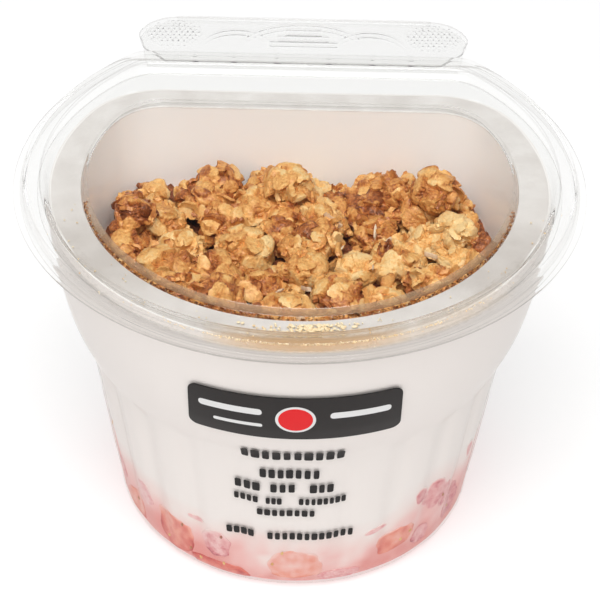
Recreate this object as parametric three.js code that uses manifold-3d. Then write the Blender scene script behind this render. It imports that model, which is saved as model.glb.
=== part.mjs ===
// Layered yogurt parfait: a clear hinged cup with a flat back, yogurt over a strawberry layer,
// and a clear tray of granola hung under the lid. Millimetres, +Z up. The origin is the middle
// of the cup's flat base, -Y is the front and the folded hinge strip is at the back (+Y).
import * as THREE from 'three';
import { mergeVertices } from 'three/addons/utils/BufferGeometryUtils.js';
import Module from 'manifold-3d';

// Sizes of the pack. A ring's straight back lies BACK_CUT inside its round radius.
const RIM_Z = 68.1;
const BASE_R = 29.7;
const BASE_FILLET = 3.6;
const BASE_EDGE_Z = 1;
const FLUTE_FOOT_R = 33;
const FLUTE_DRAFT = 0.148;
const FLUTE_COUNT = 24;
const FLUTE_DEPTH = 1.2;
const FLUTE_FADE_Z = 10.5;
const MOUTH_R = 44.3;
const WAIST_Z = 46.3;
const BACK_CUT = 14.8;
const BODY_CORNER = 16;
const ARCH_LEVELS = [33, 35.7, 38.4];
const BOWL_Z = 57;
const CUP_WALL = 0.55;
const GAP = 0.35;

// Heights of the rim parts, measured from RIM_Z.
const SHELF_TOP = -1.5;
const SHELF_BOTTOM = -2;
const LIP_TOP = -0.8;
const LIP_BOTTOM = -1.3;
const LIP_R = 48.7;
const LIP_BACK = 37.5;
const LIP_CORNER = 5;
const LIP_WIDTH = 1.1;
const STEP_SLOPE = 0.8;
const STEP_WALL = 0.2;

// The granola tray.
const TRAY_WALL = 0.45;
const TRAY_MOUTH_R = 38.4;
const TRAY_FLOOR_R = 30.3;
const TRAY_EDGE_R = 32.3;
const TRAY_EDGE_RISE = 1;
const TRAY_SIDE_FOOT_R = 33.2;
const TRAY_SIDE_FOOT_Z = RIM_Z - 32;
const TRAY_FLOOR_Z = RIM_Z - 35;
const TRAY_CORNER = 10.5;
const TRAY_FLANGE_R = 45.8;
const TRAY_FLANGE_BACK = 34.4;
const TRAY_FLANGE_BOTTOM = -1.2;
const TRAY_FLANGE_TOP = -0.8;

// The lid: a raised middle, a channel round it, a raised ring and a foot.
const LID_WALL = 0.5;
const PLATEAU_RISE = 1.5;
const PLATEAU_R = 36.2;
const SHOULDER_RISE = 1.2;
const SHOULDER_R = 37.6;
const RING_R = 48.05;
const RING_BACK = 37.15;
const RING_RISE = 2.3;
const RING_WIDTH = 2.75;
const RING_EDGE_RISE = 1.8;
const RING_EDGE = 3.55;
const CHANNEL_EDGE = 4.55;
const FOOT_R = 48.8;
const FOOT_BACK = 37.4;
const FLANGE_R = 50;
const FLANGE_BACK = 37.9;

// The hinge strip: two leaves, one on the cup and one on the lid, folded at their far end.
const STRIP_ROOT_Y = 37;
const STRIP_END_Y = 53.1;
const STRIP_HALF = 31.3;
const STRIP_CORNER = 7.5;
const STRIP_WAIST_Y = 43.2;
const STRIP_WAIST_IN = 1;
const STRIP_WAIST_BEND = 3;
const STRIP_THICK = 0.4;
const LOWER_ROOT_HALF = 29.1;
const UPPER_ROOT_HALF = 25.4;
const LOWER_END_TRIM = 0.6;

// The food.
const FRUIT_TOP_Z = 14.2;
const FRUIT_RISE = 4.7;
const FRUIT_WAVE = 1;
const FILL_FOOT_Z = 1.9;
const PIECE_DEEP = 4.4;
const PIECE_SUNK = 0.55;
const PIECE_TOP_Z = 24;
const POCKET_MARGIN = 0.45;
const HEAP_Z = RIM_Z - 16;
const HEAP_WAVE = 1.6;
const HEAP_LIFT = 2.4;
const HEAP_TOP_Z = RIM_Z - 3;
const CLUSTER_COUNT = 42;
const CLUSTER_MIN_R = 3.6;
const CLUSTER_MAX_R = 5.6;
const CLUSTER_ROUGHNESS = 0.22;
const CLUSTER_SQUASH = 0.82;
const GOLDEN_ANGLE = Math.PI * (3 - Math.sqrt(5));

// The printed band on the front of the bowl.
const BAND_HALF_ANGLE = 25;
const BAND_STEPS = 10;
const BAND_BOTTOM_Z = 43;
const BAND_TOP_Z = 54.6;
const BAND_THICK = 0.25;

const FULL_SIDES = 72;

// Strawberry pieces at the wall: degrees round from the front, height of the middle, width, height.
const PIECES = [
  [-62, 5.5, 8, 6],
  [-40, 7.5, 8.5, 9],
  [-24, 9.5, 5, 7],
  [1, 7, 10, 8.5],
  [34, 8.5, 9, 6.5],
  [49, 15.5, 7, 8],
  [60, 8.5, 6, 9],
  [85, 8, 8, 7],
  [118, 7.5, 9, 8],
  [150, 8.5, 8, 7],
  [-152, 7, 9, 8],
  [-125, 8.5, 8, 8],
  [-92, 8, 8, 7.5],
];

const wasm = await Module();
wasm.setup();

const radians = THREE.MathUtils.degToRad;
const smoothstep = THREE.MathUtils.smoothstep;

/** Polar radius of a circle whose back (+Y) is cut straight, with rounded corners. */
function roundedD(azimuth, round, back, corner) {
  const turn = Math.asin(Math.sin(azimuth));
  const cornerY = back - corner;
  const cornerX = Math.sqrt((round - corner) ** 2 - cornerY ** 2);
  if (turn <= Math.atan2(cornerY, cornerX)) {
    return round;
  }
  if (turn >= Math.atan2(back, cornerX)) {
    return back / Math.sin(turn);
  }
  const along = cornerX * Math.cos(turn) + cornerY * Math.sin(turn);
  return along + Math.sqrt(along ** 2 - (round - corner) ** 2 + corner ** 2);
}

/** Round radius over the crests of the flutes, down through the fillet to the base. */
function crestRadius(z) {
  if (z >= BASE_FILLET) {
    return FLUTE_FOOT_R + (z - BASE_FILLET) * FLUTE_DRAFT;
  }
  const rest = 1 - Math.max(z, 0) / BASE_FILLET;
  return BASE_R + (FLUTE_FOOT_R - BASE_R) * Math.sqrt(1 - rest ** 2);
}

/** Round radius of the smooth bowl, which curves in faster below its waist. */
function bowlRadius(z) {
  const drop = RIM_Z - Math.max(z, WAIST_Z);
  const below = Math.max(WAIST_Z - z, 0);
  return MOUTH_R - 0.0057 * drop ** 2 - 0.3 * below - 0.0124 * below ** 2;
}

/** Polar radius of the cup's outer wall: flutes below, which end in arches under the bowl. */
function cupRadius(azimuth, z) {
  const crest = crestRadius(z);
  const valley = (1 - Math.abs(Math.sin((azimuth * FLUTE_COUNT) / 2))) ** 1.3;
  const depth = FLUTE_DEPTH * smoothstep(z, 0, FLUTE_FADE_Z);
  const fluted = roundedD(azimuth, crest, crest - BACK_CUT, BODY_CORNER) - depth * valley;
  const bowl = bowlRadius(z);
  if (bowl < BASE_R) {
    return fluted;
  }
  return Math.max(fluted, roundedD(azimuth, bowl, bowl - BACK_CUT, BODY_CORNER));
}

/** Polar radius of a surface that lies inset inside the cup's outer wall and base. */
function insideCup(azimuth, z, inset) {
  const sink = inset * (1 - smoothstep(z, BASE_FILLET, FLUTE_FADE_Z));
  return cupRadius(azimuth, z - sink) - inset;
}

/** Round radius of the tray's outside between its floor and its mouth. */
function trayRadius(z) {
  const part = (z - TRAY_SIDE_FOOT_Z) / (RIM_Z + TRAY_FLANGE_BOTTOM - TRAY_SIDE_FOOT_Z);
  return TRAY_SIDE_FOOT_R + (TRAY_MOUTH_R - TRAY_SIDE_FOOT_R) * part;
}

// A ring of a profile gives its polar radius and its height at each azimuth.
const pole = (z) => ({ radius: () => 0, height: () => z });
const ring = (round, back, corner, z) => ({
  radius: (azimuth) => roundedD(azimuth, round, back, corner),
  height: () => z,
});
const trayRing = (round, z) => ring(round, round - BACK_CUT, TRAY_CORNER, z);
const cupRing = (z, inset) => ({
  radius: (azimuth) => (inset > 0 ? insideCup(azimuth, z, inset) : cupRadius(azimuth, z)),
  height: () => z,
});

/** Azimuths for the fluted pieces: three to a flute, one of them in its valley. */
const flutedAzimuths = Array.from({ length: FULL_SIDES }, (_, i) => (i * 2 * Math.PI) / FULL_SIDES);

/** Azimuths for the smooth pieces: even round the front, close at the corners, none on the back. */
function smoothAzimuths() {
  const cornerSteps = [58, 54, 51, 48, 44, 39];
  const frontSteps = Array.from({ length: 33 }, (_, i) => 33 - (i * 246) / 32);
  const farSteps = cornerSteps.map((turn) => 180 - turn).reverse();
  const turns = [...cornerSteps, ...frontSteps, ...farSteps.map((turn) => turn - 360)];
  return turns.map(radians).reverse();
}

/** Closed solid from a profile of rings that starts and ends on the axis. */
function turnedSolid(profile, azimuths) {
  const points = profile.map((step, j) => new THREE.Vector2(1, j));
  const lathe = new THREE.LatheGeometry(points, azimuths.length);
  const position = lathe.getAttribute('position');
  for (let i = 0; i <= azimuths.length; i += 1) {
    const azimuth = azimuths[i % azimuths.length];
    profile.forEach((step, j) => {
      const radius = step.radius(azimuth);
      const x = radius * Math.cos(azimuth);
      const y = radius * Math.sin(azimuth);
      position.setXYZ(i * profile.length + j, x, y, step.height(azimuth));
    });
  }
  lathe.setIndex(splitQuads(profile, azimuths.length));
  return toSolid(lathe);
}

/** Two triangles for each quad, so that an inner and an outer wall have the same diagonals. */
function splitQuads(profile, sides) {
  const count = profile.length;
  const index = [];
  for (let i = 0; i < sides; i += 1) {
    for (let j = 0; j < count - 1; j += 1) {
      const low = i * count + j;
      const side = low + count;
      const rising = profile[j + 1].height(0) > profile[j].height(0);
      if (rising) {
        index.push(low, side, low + 1, side + 1, low + 1, side);
      } else {
        index.push(low, side, side + 1, low, side + 1, low + 1);
      }
    }
  }
  return index;
}

/** Welds a three.js geometry and turns it into a manifold solid with its faces outward. */
function toSolid(geometry) {
  const bare = new THREE.BufferGeometry();
  bare.setAttribute('position', geometry.getAttribute('position'));
  bare.setIndex(geometry.getIndex());
  const welded = mergeVertices(bare, 1e-4);
  const index = welded.getIndex().array;
  const triangles = [];
  for (let i = 0; i < index.length; i += 3) {
    const [a, b, c] = [index[i], index[i + 1], index[i + 2]];
    if (a !== b && b !== c && c !== a) {
      triangles.push(a, b, c);
    }
  }
  const vertices = new Float32Array(welded.getAttribute('position').array);
  const solid = solidOf(vertices, triangles);
  if (solid.volume() > 0) {
    return solid;
  }
  return solidOf(vertices, triangles.reverse());
}

function solidOf(vertProperties, triangles) {
  const triVerts = new Uint32Array(triangles);
  return new wasm.Manifold(new wasm.Mesh({ numProp: 3, vertProperties, triVerts }));
}

/** Named mesh of a solid, with its material. */
function part(name, solid, look) {
  const mesh = solid.getMesh();
  const geometry = new THREE.BufferGeometry();
  geometry.setAttribute('position', new THREE.BufferAttribute(mesh.vertProperties, 3));
  geometry.setIndex(new THREE.BufferAttribute(mesh.triVerts, 1));
  geometry.computeVertexNormals();
  const node = new THREE.Mesh(geometry, new THREE.MeshStandardMaterial(look));
  node.name = name;
  return node;
}

/** Repeatable random numbers from 0 to 1. */
function seeded(seed) {
  let state = seed;
  return () => {
    state = (state * 1664525 + 1013904223) % 4294967296;
    return state / 4294967296;
  };
}

/** One leaf of the hinge strip: a thin plate, waisted at its root, with rounded far corners. */
function stripLeaf(rootHalf, half, endY, bottom) {
  const waist = half - STRIP_WAIST_IN;
  const bendY = STRIP_WAIST_Y - STRIP_WAIST_BEND;
  const shoulderY = STRIP_WAIST_Y + 2 * STRIP_WAIST_IN;
  const outline = new THREE.Shape();
  outline.moveTo(-rootHalf, STRIP_ROOT_Y);
  outline.lineTo(rootHalf, STRIP_ROOT_Y);
  outline.quadraticCurveTo(rootHalf, bendY, waist, STRIP_WAIST_Y);
  outline.quadraticCurveTo(half, shoulderY, half, endY - STRIP_CORNER);
  outline.quadraticCurveTo(half, endY, half - STRIP_CORNER, endY);
  outline.lineTo(STRIP_CORNER - half, endY);
  outline.quadraticCurveTo(-half, endY, -half, endY - STRIP_CORNER);
  outline.quadraticCurveTo(-half, shoulderY, -waist, STRIP_WAIST_Y);
  outline.quadraticCurveTo(-rootHalf, bendY, -rootHalf, STRIP_ROOT_Y);
  const settings = { depth: STRIP_THICK, bevelEnabled: false, curveSegments: 6 };
  const plate = new THREE.ExtrudeGeometry(outline, settings);
  plate.translate(0, 0, RIM_Z + bottom);
  return toSolid(mergeVertices(plate, 1e-4));
}

/** The cup: flat base, fluted foot, smooth bowl, shelf for the tray, lip and lower strip leaf. */
function cupSolid() {
  const levels = [BASE_FILLET, FLUTE_FADE_Z, ...ARCH_LEVELS, WAIST_Z, BOWL_Z];
  const stepFoot = LIP_WIDTH + STEP_SLOPE;
  const lip = (inset, z) => ring(LIP_R - inset, LIP_BACK - inset, LIP_CORNER, RIM_Z + z);
  const shell = turnedSolid(
    [
      pole(0),
      cupRing(0, 0),
      cupRing(BASE_EDGE_Z, 0),
      ...levels.map((z) => cupRing(z, 0)),
      cupRing(RIM_Z + SHELF_BOTTOM, 0),
      lip(stepFoot, SHELF_BOTTOM),
      lip(LIP_WIDTH, LIP_BOTTOM),
      lip(0, LIP_BOTTOM),
      lip(0, LIP_TOP),
      lip(LIP_WIDTH + STEP_WALL, LIP_TOP),
      lip(stepFoot + STEP_WALL, SHELF_TOP),
      cupRing(RIM_Z + SHELF_TOP, CUP_WALL),
      ...levels.map((z) => cupRing(z, CUP_WALL)).reverse(),
      cupRing(BASE_EDGE_Z + CUP_WALL, CUP_WALL),
      cupRing(CUP_WALL, CUP_WALL),
      pole(CUP_WALL),
    ],
    flutedAzimuths,
  );
  const leafBottom = LIP_TOP - STRIP_THICK;
  const end = STRIP_END_Y - LOWER_END_TRIM;
  return shell.add(stripLeaf(LOWER_ROOT_HALF, STRIP_HALF - LOWER_END_TRIM, end, leafBottom));
}

/** The tray: a tapered well with a flat floor, hung on the cup's shelf by its flange. */
function traySolid() {
  const mouth = RIM_Z + TRAY_FLANGE_BOTTOM;
  const flange = (z) => ring(TRAY_FLANGE_R, TRAY_FLANGE_BACK, LIP_CORNER, RIM_Z + z);
  return turnedSolid(
    [
      pole(TRAY_FLOOR_Z),
      trayRing(TRAY_FLOOR_R, TRAY_FLOOR_Z),
      trayRing(TRAY_EDGE_R, TRAY_FLOOR_Z + TRAY_EDGE_RISE),
      trayRing(TRAY_SIDE_FOOT_R, TRAY_SIDE_FOOT_Z),
      trayRing(TRAY_MOUTH_R, mouth),
      flange(TRAY_FLANGE_BOTTOM),
      flange(TRAY_FLANGE_TOP),
      trayRing(TRAY_MOUTH_R - TRAY_WALL, RIM_Z + TRAY_FLANGE_TOP),
      trayRing(TRAY_SIDE_FOOT_R - TRAY_WALL, TRAY_SIDE_FOOT_Z),
      trayRing(TRAY_EDGE_R - TRAY_WALL, TRAY_FLOOR_Z + TRAY_EDGE_RISE + TRAY_WALL / 2),
      trayRing(TRAY_FLOOR_R, TRAY_FLOOR_Z + TRAY_WALL),
      pole(TRAY_FLOOR_Z + TRAY_WALL),
    ],
    smoothAzimuths(),
  );
}

/** The lid: raised middle, channel, raised ring, skirt and foot, with the upper strip leaf. */
function lidSolid() {
  const middle = (round, z) => trayRing(round, RIM_Z + z);
  const hoop = (inset, z) => ring(RING_R - inset, RING_BACK - inset, LIP_CORNER, RIM_Z + z);
  const foot = (z) => ring(FOOT_R, FOOT_BACK, LIP_CORNER, RIM_Z + z);
  const edge = (z) => ring(FLANGE_R, FLANGE_BACK, LIP_CORNER, RIM_Z + z);
  const shell = turnedSolid(
    [
      pole(RIM_Z + PLATEAU_RISE - LID_WALL),
      middle(PLATEAU_R - LID_WALL / 2, PLATEAU_RISE - LID_WALL),
      middle(SHOULDER_R - LID_WALL, SHOULDER_RISE - LID_WALL),
      middle(TRAY_MOUTH_R - LID_WALL, -LID_WALL),
      hoop(CHANNEL_EDGE - LID_WALL, -LID_WALL),
      hoop(RING_EDGE - LID_WALL, RING_EDGE_RISE - LID_WALL),
      hoop(RING_WIDTH - LID_WALL / 2, RING_RISE - LID_WALL),
      hoop(LID_WALL, RING_RISE - LID_WALL),
      hoop(0, -LID_WALL),
      edge(-LID_WALL),
      edge(0),
      foot(0),
      hoop(0, RING_RISE),
      hoop(RING_WIDTH, RING_RISE),
      hoop(RING_EDGE, RING_EDGE_RISE),
      hoop(CHANNEL_EDGE, 0),
      middle(TRAY_MOUTH_R, 0),
      middle(SHOULDER_R, SHOULDER_RISE),
      middle(PLATEAU_R, PLATEAU_RISE),
      pole(RIM_Z + PLATEAU_RISE),
    ],
    smoothAzimuths(),
  );
  return shell.add(stripLeaf(UPPER_ROOT_HALF, STRIP_HALF, STRIP_END_Y, -LID_WALL));
}

/** Height of the strawberry layer's top: higher at the sides, in soft waves, flat in the middle. */
function fruitTop(azimuth, part) {
  const side = Math.cos(azimuth) ** 2;
  const wave = Math.sin(3 * azimuth + 0.8) + 0.6 * Math.sin(7 * azimuth);
  return FRUIT_TOP_Z + part * (FRUIT_RISE * side ** 3 + FRUIT_WAVE * wave);
}

const foodInset = CUP_WALL + GAP;

/** Ring on the border between strawberry layer and yogurt, at a part of the way to the wall. */
const borderRing = (part, lift) => ({
  radius: (azimuth) => part * insideCup(azimuth, fruitTop(azimuth, 1) + lift, foodInset),
  height: (azimuth) => fruitTop(azimuth, part) + lift,
});

/** Everything inside the cup's wall up to a height, which the strawberry pieces are trimmed to. */
function cupFill(top) {
  return turnedSolid(
    [
      pole(foodInset),
      cupRing(foodInset, foodInset),
      cupRing(FILL_FOOT_Z, foodInset),
      cupRing(BASE_FILLET, foodInset),
      cupRing(FLUTE_FADE_Z, foodInset),
      cupRing(top, foodInset),
      pole(top),
    ],
    flutedAzimuths,
  );
}

function strawberryLayerSolid() {
  return turnedSolid(
    [
      pole(foodInset),
      cupRing(foodInset, foodInset),
      cupRing(FILL_FOOT_Z, foodInset),
      cupRing(BASE_FILLET, foodInset),
      cupRing(FLUTE_FADE_Z, foodInset),
      borderRing(1, 0),
      borderRing(0.5, 0),
      pole(FRUIT_TOP_Z),
    ],
    flutedAzimuths,
  );
}

/** Yogurt from the strawberry layer to the tray's flange, hollowed for the hanging tray. */
function yogurtSolid() {
  const top = RIM_Z + TRAY_FLANGE_BOTTOM - GAP;
  const mass = turnedSolid(
    [
      pole(FRUIT_TOP_Z + GAP),
      borderRing(0.5, GAP),
      borderRing(1, GAP),
      ...[...ARCH_LEVELS, WAIST_Z, BOWL_Z, top].map((z) => cupRing(z, foodInset)),
      pole(top),
    ],
    flutedAzimuths,
  );
  const well = turnedSolid(
    [
      pole(TRAY_FLOOR_Z - GAP),
      trayRing(TRAY_FLOOR_R, TRAY_FLOOR_Z - GAP),
      trayRing(TRAY_EDGE_R + GAP, TRAY_FLOOR_Z + TRAY_EDGE_RISE - GAP),
      trayRing(TRAY_SIDE_FOOT_R + GAP, TRAY_SIDE_FOOT_Z),
      trayRing(TRAY_MOUTH_R + GAP, RIM_Z + TRAY_FLANGE_BOTTOM),
      pole(RIM_Z + TRAY_FLANGE_BOTTOM),
    ],
    smoothAzimuths(),
  );
  return mass.subtract(well);
}

/** Rough cut lump of strawberry, turned to face out of the wall, grown by a margin. */
function strawberryLump([turn, z, width, tall], index, margin) {
  const lump = mergeVertices(new THREE.IcosahedronGeometry(1, 0).deleteAttribute('normal')
    .deleteAttribute('uv'));
  const azimuth = radians(turn - 90);
  const place = insideCup(azimuth, z, foodInset) - PIECE_DEEP * PIECE_SUNK;
  lump.rotateX(index * 1.3);
  lump.rotateY(index * 0.7);
  lump.scale(PIECE_DEEP + margin, width / 2 + margin, tall / 2 + margin);
  lump.rotateZ(azimuth);
  lump.translate(place * Math.cos(azimuth), place * Math.sin(azimuth), z);
  return toSolid(lump);
}

/** Uneven top of the heap of granola under the clusters. */
function heapHeight(x, y) {
  return HEAP_Z + HEAP_WAVE * Math.sin(x / 7 + 1) * Math.cos(y / 6);
}

/** Craggy cluster of oats. */
function cluster(x, y, z, size, random) {
  const lump = mergeVertices(new THREE.DodecahedronGeometry(size, 0).deleteAttribute('normal')
    .deleteAttribute('uv'));
  const position = lump.getAttribute('position');
  for (let i = 0; i < position.count; i += 1) {
    const reach = 1 + CLUSTER_ROUGHNESS * (2 * random() - 1);
    position.setXYZ(i, position.getX(i) * reach, position.getY(i) * reach, position.getZ(i) * reach);
  }
  lump.scale(1, 0.85 + 0.3 * random(), CLUSTER_SQUASH);
  lump.rotateZ(2 * Math.PI * random());
  lump.translate(x, y, z);
  return toSolid(lump);
}

/** The heap of granola: a core in the tray with the clusters that show fused on. */
function granolaSolid() {
  const inset = TRAY_WALL + GAP;
  const floor = TRAY_FLOOR_Z + inset;
  const level = (z) => trayRing(trayRadius(z) - inset, z);
  const room = (top) => turnedSolid(
    [
      pole(floor),
      trayRing(TRAY_FLOOR_R - GAP, floor),
      trayRing(TRAY_EDGE_R - inset, TRAY_FLOOR_Z + TRAY_EDGE_RISE + inset),
      level(TRAY_SIDE_FOOT_Z + GAP),
      level(top),
      pole(top),
    ],
    smoothAzimuths(),
  );
  const random = seeded(11);
  const lumps = [];
  for (let i = 0; i < CLUSTER_COUNT; i += 1) {
    const size = CLUSTER_MIN_R + (CLUSTER_MAX_R - CLUSTER_MIN_R) * random();
    const azimuth = i * GOLDEN_ANGLE;
    const round = trayRadius(HEAP_Z) - inset - size * 0.7;
    const edge = roundedD(azimuth, round, round - BACK_CUT, TRAY_CORNER);
    const reach = edge * Math.sqrt((i + 0.5) / CLUSTER_COUNT);
    const x = reach * Math.cos(azimuth);
    const y = reach * Math.sin(azimuth);
    lumps.push(cluster(x, y, heapHeight(x, y) + HEAP_LIFT * random(), size, random));
  }
  const heap = lumps.reduce((sum, lump) => sum.add(lump), room(HEAP_Z - 1));
  return largestPiece(heap.intersect(room(HEAP_TOP_Z)));
}

/** The largest connected shell of a solid, without sealed hollows and loose scraps. */
function largestPiece(solid) {
  return solid.decompose().reduce((best, piece) => (piece.volume() > best.volume() ? piece : best));
}

/** The printed band: a thin plate bent to the bowl. */
function bandSolid() {
  const plate = new THREE.BoxGeometry(1, 1, 1, BAND_STEPS, 1, 2);
  const position = plate.getAttribute('position');
  for (let i = 0; i < position.count; i += 1) {
    const azimuth = radians(2 * BAND_HALF_ANGLE * position.getX(i) - 90);
    const z = BAND_BOTTOM_Z + (BAND_TOP_Z - BAND_BOTTOM_Z) * (position.getZ(i) + 0.5);
    const radius = cupRadius(azimuth, z) + GAP + BAND_THICK * (0.5 - position.getY(i));
    position.setXYZ(i, radius * Math.cos(azimuth), radius * Math.sin(azimuth), z);
  }
  return toSolid(plate);
}

const clear = { color: 0xf4f5f5, roughness: 0.08, metalness: 0, transparent: true, opacity: 0.35 };
const yogurtLook = { color: 0xece6df, roughness: 0.45, metalness: 0 };
const layerLook = { color: 0xe6b5b0, roughness: 0.4, metalness: 0 };
const pieceLook = { color: 0xd98a80, roughness: 0.35, metalness: 0 };
const granolaLook = { color: 0xd9a066, roughness: 0.8, metalness: 0 };
const bandLook = { color: 0x35302f, roughness: 0.5, metalness: 0 };

const fill = cupFill(PIECE_TOP_Z);
const pieces = PIECES.map((size, i) => strawberryLump(size, i, 0).intersect(fill));
const pockets = PIECES.map((size, i) => strawberryLump(size, i, POCKET_MARGIN));
const carve = (solid) => pockets.reduce((rest, pocket) => rest.subtract(pocket), solid);

const group = new THREE.Group();
group.add(part('cup', cupSolid(), clear));
group.add(part('tray', traySolid(), clear));
group.add(part('lid', lidSolid(), clear));
group.add(part('yogurt', carve(yogurtSolid()), yogurtLook));
group.add(part('strawberry_layer', carve(strawberryLayerSolid()), layerLook));
pieces.forEach((solid, i) => group.add(part(`strawberry_piece_${i + 1}`, solid, pieceLook)));
group.add(part('granola', granolaSolid(), granolaLook));
group.add(part('printed_band', bandSolid(), bandLook));

export default group;
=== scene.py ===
"""Looks of the layered yogurt parfait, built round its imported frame.

Shapes are worked out in millimetres, and to_object() puts a finished mesh in the frame's metres. +Z is
up, -Y is the front, and the folded hinge strip is at the back. An azimuth is measured round +Z from +X,
and a turn is measured in degrees from the front towards +X.
"""

import math
import random

import bmesh
import bpy
from mathutils import Matrix, Vector, noise


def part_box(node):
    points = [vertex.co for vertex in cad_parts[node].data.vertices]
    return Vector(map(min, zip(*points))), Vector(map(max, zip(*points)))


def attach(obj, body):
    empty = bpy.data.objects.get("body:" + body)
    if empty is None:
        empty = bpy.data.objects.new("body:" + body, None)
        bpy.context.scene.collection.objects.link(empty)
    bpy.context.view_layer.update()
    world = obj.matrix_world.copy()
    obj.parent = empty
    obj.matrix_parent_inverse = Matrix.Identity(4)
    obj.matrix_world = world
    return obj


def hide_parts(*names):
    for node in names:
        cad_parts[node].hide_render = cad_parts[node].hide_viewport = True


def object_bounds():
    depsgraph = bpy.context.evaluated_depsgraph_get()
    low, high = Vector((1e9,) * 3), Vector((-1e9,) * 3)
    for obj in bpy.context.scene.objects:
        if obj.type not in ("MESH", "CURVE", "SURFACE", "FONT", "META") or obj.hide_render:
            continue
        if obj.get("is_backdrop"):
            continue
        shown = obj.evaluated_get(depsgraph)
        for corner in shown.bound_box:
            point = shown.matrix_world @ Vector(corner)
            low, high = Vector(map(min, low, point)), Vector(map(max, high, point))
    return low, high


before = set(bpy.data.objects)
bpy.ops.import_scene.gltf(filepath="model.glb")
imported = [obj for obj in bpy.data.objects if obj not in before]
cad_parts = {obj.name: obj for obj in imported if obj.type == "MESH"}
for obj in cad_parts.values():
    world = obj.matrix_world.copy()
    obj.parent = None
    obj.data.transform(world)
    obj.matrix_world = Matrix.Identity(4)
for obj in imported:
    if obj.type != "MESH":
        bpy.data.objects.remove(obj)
cad_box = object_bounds()

MM = 0.001
CREASE_ANGLE = math.radians(50)

# The pack. A ring's straight back lies BACK_CUT inside its round radius.
RING_RISE = 2.3
RIM_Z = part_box("lid")[1].z / MM - RING_RISE
BASE_R = 29.7
BASE_FILLET = 3.6
FLUTE_FOOT_R = 33
FLUTE_DRAFT = 0.148
FLUTE_COUNT = 24
FLUTE_DEPTH = 0.62
FLUTE_CALM = math.radians(22)
CALM_DEPTH = 0.65
FLUTE_FADE_Z = 10.5
ARCH_BLEND = 0.35
MOUTH_R = 44.3
WAIST_Z = 46.3
BOWL_CURVE = 0.0057
BOWL_SLOPE = 0.3
BOWL_UNDER_CURVE = 0.0124
BACK_CUT = 14.8
BODY_CORNER = 16
CUP_WALL = 0.55
INTO_WALL = 0.2

# Heights of the rim parts, measured from RIM_Z.
SHELF_TOP = -1.5
SHELF_BOTTOM = -2
LIP_TOP = -0.8
LIP_BOTTOM = -1.3
LIP_R = 48.7
LIP_BACK = 37.5
LIP_CORNER = 5
LIP_WIDTH = 1.1
STEP_SLOPE = 0.8
STEP_WALL = 0.2

# The granola tray.
TRAY_WALL = 0.45
TRAY_MOUTH_R = 38.4
TRAY_FLOOR_R = 30.3
TRAY_EDGE_R = 32.3
TRAY_EDGE_RISE = 1
TRAY_SIDE_FOOT_R = 33.2
TRAY_SIDE_FOOT_Z = RIM_Z - 32
TRAY_FLOOR_Z = RIM_Z - 35
TRAY_CORNER = 10.5
TRAY_FLANGE_R = 45.8
TRAY_FLANGE_BACK = 34.4
TRAY_FLANGE_BOTTOM = -1.2
TRAY_FLANGE_TOP = -0.8

# The lid.
LID_WALL = 0.5
PLATEAU_RISE = 1.5
PLATEAU_R = 36.2
SHOULDER_RISE = 1.2
SHOULDER_R = 37.6
RING_R = 48.05
RING_BACK = 37.15
RING_WIDTH = 2.75
RING_EDGE_RISE = 1.8
RING_EDGE = 3.55
CHANNEL_EDGE = 4.55
FOOT_R = 48.8
FOOT_BACK = 37.4
FLANGE_R = 50
FLANGE_BACK = 37.9

# The hinge strip.
STRIP_END_Y = 53.1
STRIP_HALF = 31.3
STRIP_CORNER = 7.5
STRIP_WAIST_Y = 43.2
STRIP_THICK = 0.4
LOWER_ROOT_HALF = 29.1
UPPER_ROOT_HALF = 25.4
LOWER_END_TRIM = 0.15
LEAF_GAP = 0.35

# The leaves of the strip meet their shells here. Its relief: bowed bars, short ribs and knurled grips.
LEAF_LOWER_ROOT_Y = 37.45
LEAF_UPPER_ROOT_Y = 37.85
STRIP_WAIST_IN = 1
STRIP_WAIST_BEND = 3
STRIP_BARS = [(-12.6, 48.7, 7.2), (0, 50.9, 12.6), (12.6, 48.7, 7.2)]
STRIP_BAR_FOOT_Y = 40.8
STRIP_FOLD = (0, 53.3, RIM_Z - 0.65)
STRIP_FOLD_R = 0.55
STRIP_RIBS = [(49.2, 3.4), (47.1, 4.9), (45, 6.5)]
STRIP_GRIP = (24.6, 48, 5.4, 4)
STRIP_DOT_PITCH = 1.05
DOT_HIGH = 0.16
BAR_HIGH = 0.12
RIB_HIGH = 0.15
# Width of the painted grey shade along the strip's cut edges.
STRIP_EDGE_SHADE_WIDTH = 0.12

# The print on the bowl: places are turns from the front and heights.
BAND_TURN = 24.8
BAND_LOW = 43.8
BAND_HIGH = 54.7
INK_LIFT = 0.03
INK_THICK = 0.05
BAND_BARS = [(-22.2, -7.4, 50.8, 1.5), (-19, -7.4, 47.3, 0.8), (8, 22.2, 50.2, 1.5)]
BAND_DISC = (0.2, 49.3, 3.4)
DISC_EDGE = 0.5
# Rows of small blocks: start and end turn, z of the middle, height and number of blocks.
WORD_BLOCKS = [
    (-14.3, 13.6, 37.3, 2.2, 10),
    (-9.4, 7.3, 32.3, 2.2, 7),
    (-16.7, -8.9, 28.4, 2.1, 3), (-6.6, 0.8, 28.4, 2.1, 3), (4.3, 11.3, 28.4, 2.1, 3),
    (-17, -9.6, 24.9, 1.6, 4), (-7.8, -3, 24.9, 1.6, 3), (1.4, 15.1, 24.9, 1.6, 8),
    (-10.4, 6.5, 21.7, 1.6, 8),
    (-20, -11.2, 15.2, 1.8, 4), (-7.6, 18.4, 15.2, 1.8, 12),
]

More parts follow.
